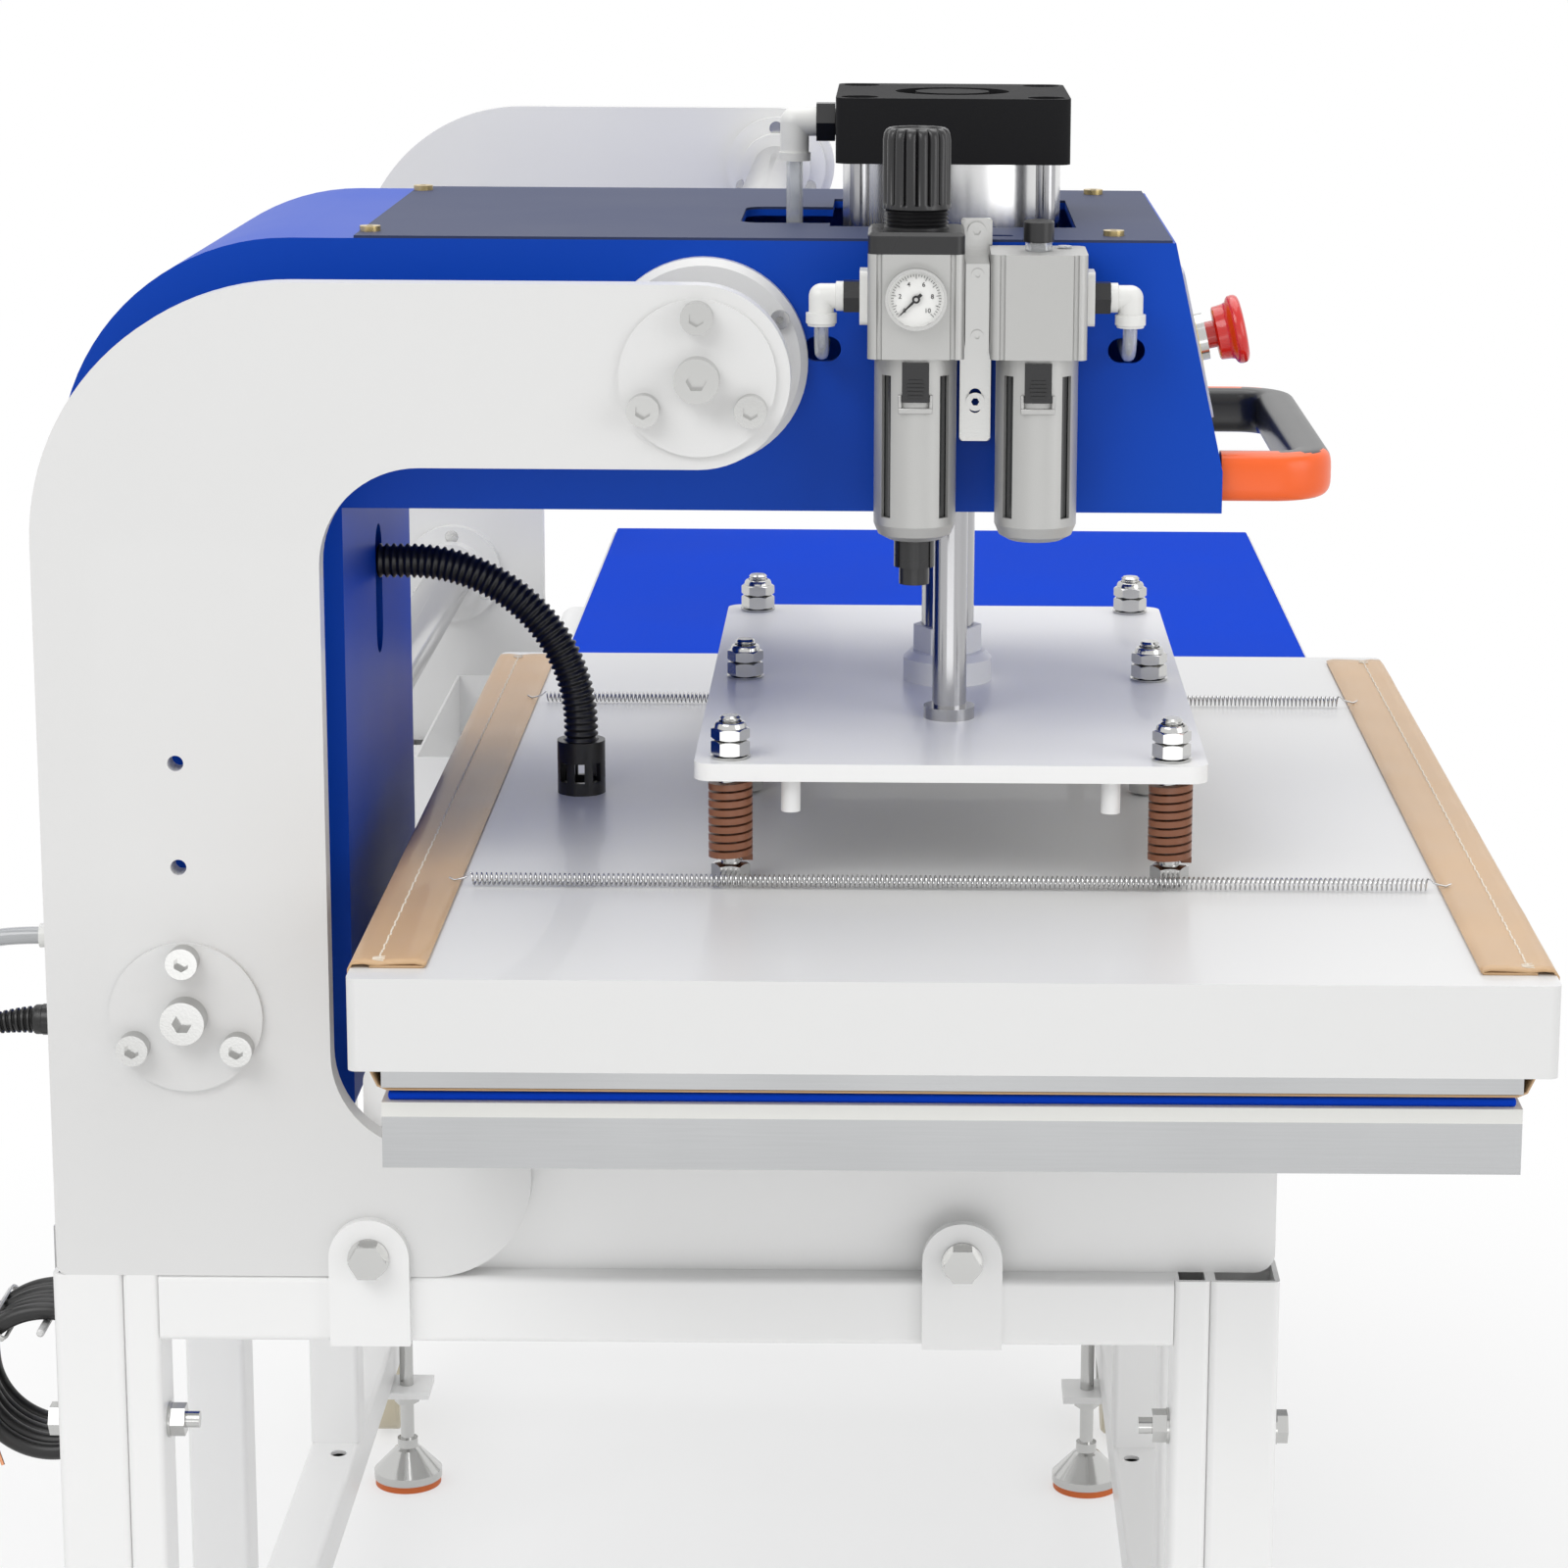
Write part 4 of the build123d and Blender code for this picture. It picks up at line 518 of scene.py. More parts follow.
pad_foam = finish(
    "blue_silicone_foam", coat, (0.003, 0.052, 0.56), 0.14, 0.76, 0.1, 1800, 0.5, Specular_IOR_Level=0.05,
)
thread_white = finish("pale_thread", coat, (0.78, 0.72, 0.62), 0.1, 0.7, 0.1, 900, 0.2)
dial_print = finish("dial_face", coat, (0.82, 0.82, 0.80), 0.02, 0.4, 0.04, 300, 0.02)
clear_tube = finish(
    "clear_tube", coat, (0.86, 0.88, 0.90), 0.02, 0.12, 0.04, 200, 0.02, Transmission_Weight=0.75, IOR=1.45,
)
dark_glass = finish("smoked_bowl", coat, (0.030, 0.031, 0.032), 0.1, 0.14, 0.05, 200, 0.02, Coat_Weight=0.6)
print(len(bpy.data.materials), "finishes")


# %% [markdown]
# Each carried-over piece gets its finish here, by name. Where one node holds solids of two finishes,
# such as a foot and its rubber ring, faces are picked by where they lie.

# %% Finishes on the carried-over pieces
def dress(node, *materials):
    mesh = nodes[node].data
    mesh.materials.clear()
    for material in materials:
        mesh.materials.append(material)


def pick_faces(node, index, test):
    """Faces whose centre passes the test take the material at the index."""
    mesh = nodes[node].data
    for face in mesh.polygons:
        if test(face.center):
            face.material_index = index


plain = {
    # The first row takes the lighter copy of the white coat, whose extra brightness is painted light.
    frame_coat_painted_light: ("lower_frame", "upper_frame", "stand_brackets", "base_box", "rear_tray", "pressure_plate"),
    white_coat: ("near_cheek", "far_cheek", "shaft_clamps"),
    blue_coat: ("head_shell",),
    zinc: ("frame_bolts", "linear_bushes"),
    polished_y: ("guide_shafts",),
    polished_z: ("piston_and_rod", "guide_rods", "tie_rods"),
    plate_aluminium: ("heater_plate", "table_plates"),
    board_white: ("table_boards",),
    barrel_aluminium: ("cylinder_barrel",),
    black_coat: ("cylinder_caps",),
    black_plastic: ("drain_knob", "drip_screw", "gauge_needle"),
    mineral_mat: ("heater_core",),
    clear_tube: ("air_tubes",),
}
for material, names in plain.items():
    for name in names:
        dress(name, material)
foot_ring_top = 0.0061
for index in (1, 2, 3, 4):
    dress(f"caster_fork_{index}", zinc)
    dress(f"caster_wheel_{index}", cream_nylon)
    dress(f"leveling_foot_{index}", zinc, orange_rubber)
    pick_faces(f"leveling_foot_{index}", 1, lambda centre: centre.z < foot_ring_top)

cover_bell_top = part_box("platen_cover")[1].z
gland_high = 0.033
dress("platen_cover", white_coat, black_plastic)
pick_faces("platen_cover", 1, lambda centre: centre.z > cover_bell_top - gland_high + 0.0001)
head_low, head_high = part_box("head_shell")
dress("head_cover", lid_coat, bronze_disc)
pick_faces("head_cover", 1, lambda centre: centre.z > head_high.z + 0.0016)
dress("bearing_flanges", white_coat, zinc)
flange_face = 0.0121
pick_faces(
    "bearing_flanges", 1,
    lambda centre: centre.y < head_low.y - flange_face or centre.y > head_high.y + flange_face,
)
button_low, button_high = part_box("estop_button")
button_y = (button_low.y + button_high.y) / 2
dress("front_panel", white_coat, zinc)
panel_proud = 0.0025
panel_rise = 0.130
panel_lean = 0.029
panel_normal = Vector((panel_rise, 0, panel_lean)).normalized()
panel_down = Vector((panel_lean, 0, -panel_rise)).normalized()
panel_top = Vector((station_x + 0.125, button_y, head_high.z))
bezel_radius = 0.0145


def on_bezel(centre):
    return abs(centre.y - button_y) < bezel_radius and (centre - panel_top).dot(panel_normal) > panel_proud


pick_faces("front_panel", 1, on_bezel)

# %% [markdown]
# The air unit's bodies are painted castings with black caps, and its nodes group several mouldings. The
# bonnet and collar are black above the body, the latches are black on the guards, and the bowls inside
# are smoked plastic behind the slots.

# %% Finishes on the air unit
unit_y = (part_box("regulator_knob")[0].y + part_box("regulator_knob")[1].y) / 2
left_x = sum(c.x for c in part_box("regulator_knob")) / 2
right_x = sum(c.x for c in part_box("drip_screw")) / 2
unit_top = head_high.z - 0.001
unit_depth = 0.058
dress("filter_regulator", cast_silver, black_plastic, white_plastic)
pick_faces("filter_regulator", 1, lambda centre: centre.z > unit_top + 0.00005)
pick_faces("filter_regulator", 2, lambda centre: centre.x < left_x - 0.0268)
dress("lubricator", cast_silver, clear_tube, white_plastic)
pick_faces("lubricator", 1, lambda centre: centre.z > unit_top + 0.00005)
pick_faces("lubricator", 2, lambda centre: centre.x > right_x + 0.0268)
dress("bowl_guards", cast_silver, dark_glass, black_plastic)
guard_radius = 0.023
guard_wall = 0.0022
bowl_floor = 1.0630


def in_bowl(centre):
    middle = left_x if centre.x < (left_x + right_x) / 2 else right_x
    reach = math.hypot(centre.x - middle, centre.y - unit_y)
    return reach < guard_radius - guard_wall and centre.z > bowl_floor


def on_latch(centre):
    middle = left_x if centre.x < (left_x + right_x) / 2 else right_x
    close = abs(centre.x - middle) < 0.0076 and centre.z > unit_top - 0.0825
    outside = centre.y < unit_y - guard_radius + 0.0001
    return close and outside and math.hypot(centre.x - middle, centre.y - unit_y) > guard_radius + 0.0001


pick_faces("bowl_guards", 1, in_bowl)
pick_faces("bowl_guards", 2, on_latch)
dress("pressure_gauge", zinc, dial_print)
gauge_low, gauge_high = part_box("pressure_gauge")
gauge_z = (gauge_low.z + gauge_high.z) / 2
dial_radius = 0.0153
rim_depth = 0.003


def on_dial(centre):
    reach = math.hypot(centre.x - left_x, centre.z - gauge_z)
    return reach < dial_radius and centre.y > gauge_low.y + rim_depth


pick_faces("pressure_gauge", 1, on_dial)
dress("air_fittings", white_plastic, zinc, black_plastic)
pick_faces(
    "air_fittings", 1,
    lambda centre: left_x + 0.0265 < centre.x < right_x - 0.0265 and centre.z < head_high.z + 0.03,
)
pick_faces(
    "air_fittings", 2,
    lambda centre: centre.z > head_high.z + 0.02
    and centre.x > station_x - 0.0815
    or unit_y - 0.012 < centre.y < unit_y + 0.012
    and (0.0045 < left_x - 0.02675 - centre.x < 0.0136 or 0.0045 < centre.x - right_x - 0.02675 < 0.0136),
)
dress("rear_fittings", white_plastic, black_plastic, bronze_disc)
pick_faces(
    "rear_fittings", 1, lambda centre: centre.x < cheek_rear - 0.0001 and 0.3 < centre.z < air_z - 0.03,
)
pick_faces("rear_fittings", 2, lambda centre: centre.z < 0.1)
for name, material in (
    ("air_supply_hose", grey_hose), ("mains_cable", rubber), ("blue_core", blue_core_skin),
    ("earth_core", earth_core_skin), ("brown_core", brown_core_skin),
):
    bpy.data.objects[name].data.materials.append(material)
for core_name in ("blue_core", "earth_core", "brown_core"):
    bpy.data.objects[core_name + "_copper"].data.materials.append(copper)
print("dressed", len(nodes), "nodes")


# %% [markdown]
# What sits on the cords is made of rings along each cord's own line. The hose ends in a push-in plug with
# a knurled collar. The lead leaves its gland through a tapered, grooved sleeve, so it never kinks there.

# %% Plug, strain relief and ties
def along_line(points, reach):
    """The place and heading at a distance along a line of points."""
    for before, after in zip(points, points[1:]):
        step = (after - before).length
        if reach <= step and step > 0:
            return before.lerp(after, reach / step), (after - before).normalized()
        reach -= step
    return points[-1], (points[-1] - points[-2]).normalized()


def sleeve(points, profile, segments=24):
    def make(sculpt):
        rings = []
        for far, radius in profile:
            centre, heading = along_line(points, far)
            one = heading.cross(Vector((0, 1, 0.01))).normalized()
            rings.append(lay_ring(sculpt, centre, one, heading.cross(one), round_outline(radius, segments)))
        join_rings(sculpt, rings)
    return make


def plug_shape(sculpt):
    line = centreline(air_hose)
    end, heading = line[-1], (line[-1] - line[-2]).normalized()
    heading.z = 0
    start = end - heading * 0.004
    profile = [(0.0, 0.0040), (0.0002, 0.00495)]
    for groove in range(6):
        at = 0.002 + groove * 0.0016
        profile += [(at, 0.00495), (at + 0.0004, 0.0044), (at + 0.0009, 0.0044), (at + 0.0013, 0.00495)]
    profile += [
        (0.0135, 0.0048), (0.0138, 0.0038), (0.0235, 0.0038),
        (0.0240, 0.0046), (0.0300, 0.0046), (0.0320, 0.0030),
    ]
    lathe(sculpt, start, heading.normalized(), profile, 28)


hose_plug = new_piece("air_plug", plug_shape, [bronze_disc], "stand")

relief_length = 0.034
relief_profile = [(0.0, 0.0060), (0.0002, 0.0086), (0.004, 0.0086)]
for groove in range(8):
    at = 0.005 + groove * 0.0034
    thick = 0.0084 - 0.0028 * (at / relief_length)
    relief_profile += [
        (at, thick), (at + 0.0006, thick - 0.0011),
        (at + 0.0016, thick - 0.0013), (at + 0.0022, thick - 0.0002),
    ]
relief_profile += [(relief_length - 0.001, 0.0058), (relief_length, 0.0051)]
relief = new_piece("lead_strain_relief", sleeve(centreline(mains), relief_profile), [rubber], "stand", 50)

coil_middle_y = coil_first_y + coil_pitch * coil_turns / 2
tie_half_wide = abs(coil_pitch) * coil_turns / 2 + cord_diameter / 2 + 0.0008
tie_half_high = cord_diameter / 2 + 0.0010
tie_band = 0.0030


def coil_ties(sculpt):
    for angle in (math.radians(52), math.radians(128)):
        out = Vector((math.cos(angle), 0, math.sin(angle)))
        round_coil = Vector((-math.sin(angle), 0, math.cos(angle)))
        centre = Vector((coil_x, coil_middle_y, coil_z)) + out * coil_radius
        wide, high = tie_half_wide, tie_half_high
        outline = []
        for corner_u, corner_v, first in ((1, 1, 0), (-1, 1, 90), (-1, -1, 180), (1, -1, 270)):
            for k in range(5):
                turn = math.radians(first + 22.5 * k)
                outline.append(
                    (
                        corner_u * (wide - high) + high * math.cos(turn),
                        corner_v * 0.0006 + (high - 0.0006) * math.sin(turn),
                    )
                )
        rings = []
        for far, grow in ((-0.5, 0.0), (-0.5, 0.0013), (0.5, 0.0013), (0.5, 0.0)):
            grown = [(u + math.copysign(grow, u), v + math.copysign(grow, v)) for u, v in outline]
            rings.append(
                lay_ring(sculpt, centre + round_coil * far * tie_band, Vector((0, 1, 0)), out, grown)
            )
        join_rings(sculpt, rings + rings[:1], closed=False)


ties = new_piece("coil_ties", coil_ties, [white_plastic], "stand", 40)
hanger_y = coil_first_y + cord_diameter / 2 + 0.004


def coil_hanger(sculpt):
    rod = 0.0024
    level = coil_z + coil_radius - cord_diameter / 2 - rod - 0.0004
    far_end = coil_first_y + coil_pitch * coil_turns - cord_diameter / 2 - 0.006
    run = hanger_y - far_end
    lathe(
        sculpt, Vector((coil_x, hanger_y, level)), Vector((0, -1, 0)),
        [(-0.001, 0.0015), (0.0, rod), (run - 0.001, rod), (run, 0.0014)], 20,
    )
    box_between(
        sculpt, (coil_x - 0.006, hanger_y - 0.0002, level - 0.006),
        (cheek_rear - 0.0032, hanger_y + 0.0026, rail_top - 0.010),
    )
    box_between(
        sculpt, (cheek_rear - 0.0058, hanger_y - 0.0002, rail_top - 0.036),
        (cheek_rear - 0.0031, hanger_y + 0.022, rail_top - 0.010),
    )


new_piece("coil_hanger", coil_hanger, [white_coat], "stand", 40)


# %% [markdown]
# A spring is a short wire profile that spins round the stud and climbs a little at each step. The spin
# operator does both at once: its angle is all the turns together, and its offset is the climb per step.
# The six die springs have flat rectangular wire. They sit on the platen.

# %% Springs
def wind(sculpt, base, axis, across, radius, wire_wide, wire_tall, pitch, turns, per_turn, corners=0):
    """A coil from base along axis. Its wire is a flat bar, or round where a count of corners is given."""
    if corners:
        ring = bmesh.ops.create_circle(sculpt, cap_ends=True, segments=corners, radius=wire_wide / 2)["verts"]
    else:
        ring = bmesh.ops.create_grid(sculpt, x_segments=1, y_segments=1, size=0.5)["verts"]
        bmesh.ops.scale(sculpt, vec=(wire_wide, wire_tall, 1), verts=ring)
    turn = Matrix((across, axis, across.cross(axis))).transposed().to_4x4()
    bmesh.ops.transform(sculpt, matrix=Matrix.Translation(base + across * radius) @ turn, verts=ring)
    faces = list({face for vertex in ring for face in vertex.link_faces})
    steps_all = round(turns * per_turn)
    bmesh.ops.spin(
        sculpt, geom=faces, cent=base, axis=axis, dvec=axis * (pitch / per_turn),
        angle=2 * math.pi * turns, steps=steps_all, use_duplicate=False,
    )
    bmesh.ops.recalc_face_normals(sculpt, faces=sculpt.faces)


up = Vector((0, 0, 1))
spring_low, spring_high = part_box("die_springs")
stud_x = 0.124
stud_pitch = 0.217
die_outer = 0.025
die_wire_wide = 0.0058
die_wire_tall = 0.0035
die_turns = 9.3
die_height = spring_high.z - spring_low.z - die_wire_tall


def die_spring_set(sculpt):
    for side in (-1, 1):
        for row in (-1, 0, 1):
            base = Vector(
                (station_x + side * stud_x, near_y + row * stud_pitch, spring_low.z + die_wire_tall / 2)
            )
            radius = (die_outer - die_wire_wide) / 2
            pitch = die_height / die_turns
            wind(
                sculpt, base, up, Vector((1, 0, 0)), radius,
                die_wire_wide, die_wire_tall, pitch, die_turns, 28,
            )


die_springs = new_piece("wound_die_springs", die_spring_set, [die_brown], "platen", 30)
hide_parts("die_springs")
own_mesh(die_springs)

sheet_low, sheet_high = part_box("sheet_springs")
sheet_spring_z = (sheet_low.z + sheet_high.z) / 2
sheet_spring_radius = 0.0032
sheet_wire = 0.0011
sheet_spring_ys = (sheet_low.y + 0.004, sheet_high.y - 0.004)
sheet_spring_turns = 196
spring_end_gap = 0.004
sheet_spring_run = sheet_high.x - sheet_low.x - 2 * spring_end_gap
spring_pitch = sheet_spring_run / sheet_spring_turns


def one_turn_of_each(sculpt):
    for y in sheet_spring_ys:
        base = Vector((sheet_low.x + spring_end_gap, y, sheet_spring_z))
        wind(sculpt, base, Vector((1, 0, 0)), up, sheet_spring_radius, sheet_wire, 0, spring_pitch, 1, 16, 5)
    bmesh.ops.delete(
        sculpt, geom=[face for face in sculpt.faces if len(face.verts) == 5], context="FACES_ONLY"
    )


sheet_springs = new_piece("pull_springs", one_turn_of_each, [spring_wire_finish], "platen", 60)
repeat = sheet_springs.modifiers.new("turns", "ARRAY")
repeat.count = sheet_spring_turns
repeat.use_relative_offset = False
repeat.use_constant_offset = True
repeat.constant_offset_displace = (spring_pitch, 0, 0)
repeat.use_merge_vertices = True
repeat.merge_threshold = 0.00002
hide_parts("sheet_springs")

# %% [markdown]
# Each pull spring ends in a hook. The hook is a short bent wire that reaches through the cloth's hem.

# %% Spring hooks
hook_reach = 0.0130


def spring_hooks(sculpt):
    wire = round_outline(sheet_wire / 2, 8)
    for y in sheet_spring_ys:
        for side, start in ((-1, sheet_low.x + spring_end_gap), (1, sheet_high.x - spring_end_gap)):
            stations = [
                (0.0, sheet_spring_radius), (0.001, sheet_spring_radius), (0.003, 0.0010), (0.006, 0.0),
                (hook_reach - 0.003, -0.0010), (hook_reach, 0.0006),
            ]
            rings = []
            for far, height in stations:
                centre = Vector((start + side * far, y, sheet_spring_z + height))
                rings.append(lay_ring(sculpt, centre, Vector((0, 1, 0)), up, wire))
            join_rings(sculpt, rings)


new_piece("pull_spring_hooks", spring_hooks, [spring_wire_finish], "platen", 50)


# %% [markdown]
# The heater's cable runs in a corrugated hose, a tube whose wall steps in and out every few millimetres.
# Rings of points are placed along a smooth line and bridged, wide and narrow in turn. On the machine the
# hose runs from the head to the platen.

# %% Corrugated hose
def quarter_path(top, low, bend, count):
    """Points and headings along a run, a quarter bend and a drop, evenly spaced."""
    straight = low.x - top.x - bend
    drop = top.z - low.z - bend
    arc = bend * math.pi / 2
    total = straight + arc + drop
    places = []
    for step in range(count + 1):
        gone = total * step / count
        if gone <= straight:
            places.append((top + Vector((gone, 0, 0)), Vector((1, 0, 0))))
        elif gone <= straight + arc:
            angle = (gone - straight) / bend
            centre = top + Vector((straight, 0, -bend))
            places.append(
                (
                    centre + bend * Vector((math.sin(angle), 0, math.cos(angle))),
                    Vector((math.cos(angle), 0, -math.sin(angle))),
                )
            )
        else:
            places.append(
                (Vector((low.x, low.y, top.z - bend - (gone - straight - arc))), Vector((0, 0, -1)))
            )
    return places


hose_low, hose_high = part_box("heater_hose")
hose_radius = 0.0105
hose_y = (hose_low.y + hose_high.y) / 2
hose_top = Vector((hose_low.x, hose_y, hose_high.z - hose_radius))
hose_end = Vector((hose_high.x - hose_radius, hose_y, hose_low.z))
hose_bend = 0.9 * min(hose_end.x - hose_top.x, hose_top.z - hose_end.z)
hose_ribs = 46


def hose_rings(sculpt):
    side = Vector((0, 1, 0))
    rings = []
    for step, (centre, heading) in enumerate(quarter_path(hose_top, hose_end, hose_bend, hose_ribs * 4)):
        radius = hose_radius if step % 4 in (1, 2) else hose_radius - 0.0016
        rings.append(lay_ring(sculpt, centre, side, heading.cross(side), round_outline(radius, 28)))
    join_rings(sculpt, rings, closed=False)


hose = new_piece("corrugated_hose", hose_rings, [hose_plastic], "head", 60)
hose.parent = None
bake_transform(hose)
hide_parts("heater_hose")
print("hose ribs", hose_ribs)

# %% [markdown]
# The release sheet is brown glass cloth, coated so that nothing sticks. It lies under the hot plate,
# slopes out to the cover's edges, and ends in a hem on top, where rods and springs pull it taut. Its
# section is drawn once, drawn out along the press, and given a wall.

# %% Release sheet
sheet_box_low, sheet_box_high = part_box("release_sheet")
cover_low, cover_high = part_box("platen_cover")
sheet_thickness = 0.0012
hem_width = 0.040
hem_top = sheet_box_high.z
half_cover = (sheet_box_high.x - sheet_box_low.x) / 2 - sheet_thickness / 2
half_plate = (heater_high.x - heater_low.x) / 2 + 0.0010


def sheet_section(side):
    """Half of the sheet's outline, from the middle out and up over the hem, with the hem's own fold."""
    under = sheet_box_low.z + sheet_thickness / 2
    return [
        (0.0, under),
        (side * half_plate * 0.5, under),
        (side * (half_plate - 0.004), under),
        (side * (half_plate + 0.0008), under + 0.0020),
        (side * half_cover, cover_low.z + 0.020 - 0.004),
        (side * half_cover, cover_low.z + 0.030),
        (side * half_cover, hem_top - 0.0042),
        (side * (half_cover - 0.0022), hem_top - sheet_thickness / 2),
        (side * (half_cover - 0.008), hem_top - sheet_thickness / 2 + 0.0004),
        (side * (half_cover - 0.015), hem_top - sheet_thickness / 2 - 0.0010),
        (side * (half_cover - 0.024), hem_top - sheet_thickness / 2 + 0.0002),
        (side * (half_cover - 0.035), hem_top - sheet_thickness / 2 + 0.0005),
        (side * (half_cover - hem_width + 0.0015), hem_top - sheet_thickness / 2 - 0.0002),
        (side * (half_cover - hem_width), hem_top - 0.0019),
        (side * (half_cover - hem_width + 0.0012), hem_top - 0.0027),
        (side * (half_cover - 0.024), hem_top - 0.0027),
        (side * (half_cover - 0.011), hem_top - 0.0027),
    ]


def sheet_strip(sculpt):
    outline = sheet_section(-1)[::-1] + sheet_section(1)[1:]
    verts = [
        sculpt.verts.new((station_x + x, sheet_box_low.y + 0.0004, z)) for x, z in outline
    ]
    edges = [sculpt.edges.new(pair) for pair in zip(verts, verts[1:])]
    length = sheet_box_high.y - sheet_box_low.y - 0.0008
    cuts = 90
    geometry = edges
    for _ in range(cuts):
        drawn = bmesh.ops.extrude_edge_only(sculpt, edges=geometry)["geom"]
        fresh = [item for item in drawn if isinstance(item, bmesh.types.BMVert)]
        bmesh.ops.translate(sculpt, verts=fresh, vec=(0, length / cuts, 0))
        geometry = [
            item for item in drawn
            if isinstance(item, bmesh.types.BMEdge) and all(vertex in fresh for vertex in item.verts)
        ]
    for vertex in sculpt.verts:
        if vertex.co.z > hem_top - 0.0012:
            ripple = math.sin(vertex.co.y * 61.0) + 0.7 * math.sin(vertex.co.y * 97.0 + vertex.co.x * 40.0)
            vertex.co.z -= 0.00024 * (1.7 + ripple)
            vertex.co.x += 0.0004 * math.sin(vertex.co.y * 31.0)


release_sheet = new_piece("release_sheet_cloth", sheet_strip, [sheet_cloth], "platen", 60)
wall = release_sheet.modifiers.new("wall", "SOLIDIFY")
wall.thickness = sheet_thickness
wall.offset = 0
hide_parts("release_sheet")

# %% [markdown]
# Each hem is folded under and sewn with pale thread. The stitches are short raised dashes in one row. Three
# crossed stitches lock the row at each end.

# %% Hem stitches
stitch_step = 0.0058
stitch_length = 0.0042
stitch_inset = 0.0150


def stitch_rows(sculpt):
    thread = round_outline(0.00055, 6)
    for side in (-1, 1):
        x = station_x + side * (half_cover - stitch_inset)
        level = hem_top - sheet_thickness / 2 - 0.0004
        y = sheet_box_low.y + 0.010
        while y < sheet_box_high.y - 0.010:
            slant = 0.0003 * math.sin(y * 400)
            stops = (
                (0.0, -0.0006), (0.0006, 0.0003), (stitch_length - 0.0006, 0.0003), (stitch_length, -0.0006),
            )
            rings = [
                lay_ring(sculpt, Vector((x + slant, y + far, level + rise)), Vector((1, 0, 0)), up, thread)
                for far, rise in stops
            ]
            join_rings(sculpt, rings)
            y += stitch_step
        for end_y in (sheet_box_low.y + 0.009, sheet_box_high.y - 0.009):
            for lean in (-1, 0, 1):
                one = Vector((0.4 * lean, 1, 0)).normalized()
                start = Vector((x - 0.0032, end_y + 0.0018 * lean, level + 0.0004))
                across = (Vector((1, 0.35 * lean, 0))).normalized()
                rings = [lay_ring(sculpt, start + across * far, one, up, thread) for far in (0.0, 0.0064)]
                join_rings(sculpt, rings)


stitches = new_piece("hem_stitches", stitch_rows, [thread_white], "platen", 50)

# %% [markdown]
# The tables carry soft silicone foam pads, a few millimetres thick, with rounded corners and edges that
# a hot plate has pressed slightly down. Each starts from a grid of faces and gets a wall, a round edge
# and a very low crown.

# %% Table pads
pad_low, pad_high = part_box("table_pads")
pad_half_x = (pad_high.x - pad_low.x) / 2
pad_half_y = (heater_high.y - heater_low.y) / 2 - 0.002


def pad_maker(centre_y):
    def make(sculpt):
        made = bmesh.ops.create_grid(sculpt, x_segments=24, y_segments=32, size=1)["verts"]
        bmesh.ops.scale(sculpt, vec=(pad_half_x - 0.001, pad_half_y - 0.001, 1), verts=made)
        for vertex in made:
            edge = max(abs(vertex.co.x) / pad_half_x, abs(vertex.co.y) / pad_half_y)
            vertex.co.z = pad_high.z - 0.0004 - 0.0010 * max(0.0, edge - 0.9) / 0.1
        bmesh.ops.translate(sculpt, vec=(station_x, centre_y, 0), verts=made)
        base = bmesh.ops.extrude_face_region(sculpt, geom=sculpt.faces[:])["geom"]
        lower = [item for item in base if isinstance(item, bmesh.types.BMVert)]
        for vertex in lower:
            vertex.co.z = pad_low.z + 0.0001
        bmesh.ops.recalc_face_normals(sculpt, faces=sculpt.faces)
    return make


for pad_name, centre_y in (("near_foam_pad", near_y), ("far_foam_pad", -near_y)):
    pad = new_piece(pad_name, pad_maker(centre_y), [pad_foam], "stand", 50)
    soft_edge = pad.modifiers.new("round_edge", "BEVEL")
    soft_edge.width = 0.0016
    soft_edge.segments = 3
    soft_edge.limit_method = "ANGLE"
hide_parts("table_pads")

# %% [markdown]
# Six studs carry the platen. Each has a plain nut low down, and above the plate a washer, a nut and a lock
# nut whose collar grips the thread. A nut's chamfer is a cone that cuts its six corners, so the ring of
# points under its top face drops lower at each corner than at the flats.

# %% Studs and nuts
def hexagon_outline(flats, grow=1.0, per_side=4):
    outline = []
    for corner in range(6):
        first = math.radians(60 * corner)
        a = Vector((math.cos(first), math.sin(first)))
        b = Vector((math.cos(first + math.pi / 3), math.sin(first + math.pi / 3)))
        for k in range(per_side):
            point = a.lerp(b, k / per_side) * flats / math.sqrt(3) * grow
            outline.append((point.x, point.y))
    return outline


def nut(sculpt, x, y, low, high, flats):
    inside = flats / 2 * 0.97
    one, two = Vector((1, 0, 0)), Vector((0, 1, 0))
    full = hexagon_outline(flats)
    drops = [max(0.0, (math.hypot(u, v) - inside) * 0.55) for u, v in full]
    small = [(u * inside / math.hypot(u, v), v * inside / math.hypot(u, v)) for u, v in full]
    rings = []
    for level, sign in ((low, 1), (high, -1)):
        flat_ring = lay_ring(sculpt, Vector((x, y, level)), one, two, small)
        edge_ring = lay_ring(sculpt, Vector((x, y, level)), one, two, full)
        points = list({vertex for edge in edge_ring for vertex in edge.verts})
        for (u, v), drop in zip(full, drops):
            nearest = min(points, key=lambda vertex: math.hypot(vertex.co.x - x - u, vertex.co.y - y - v))
            nearest.co.z = level + sign * drop
        rings += [flat_ring, edge_ring] if sign > 0 else [edge_ring, flat_ring]
    join_rings(sculpt, rings)


nut_flats = 0.019
nut_high = 0.010
stud_radius = 0.006
thread_pitch = 0.0014
thread_depth = 0.0008
washer_radius = 0.0115
washer_high = 0.0013
studs_low, studs_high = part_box("platen_studs")
plate_top = studs_high.z - 0.024


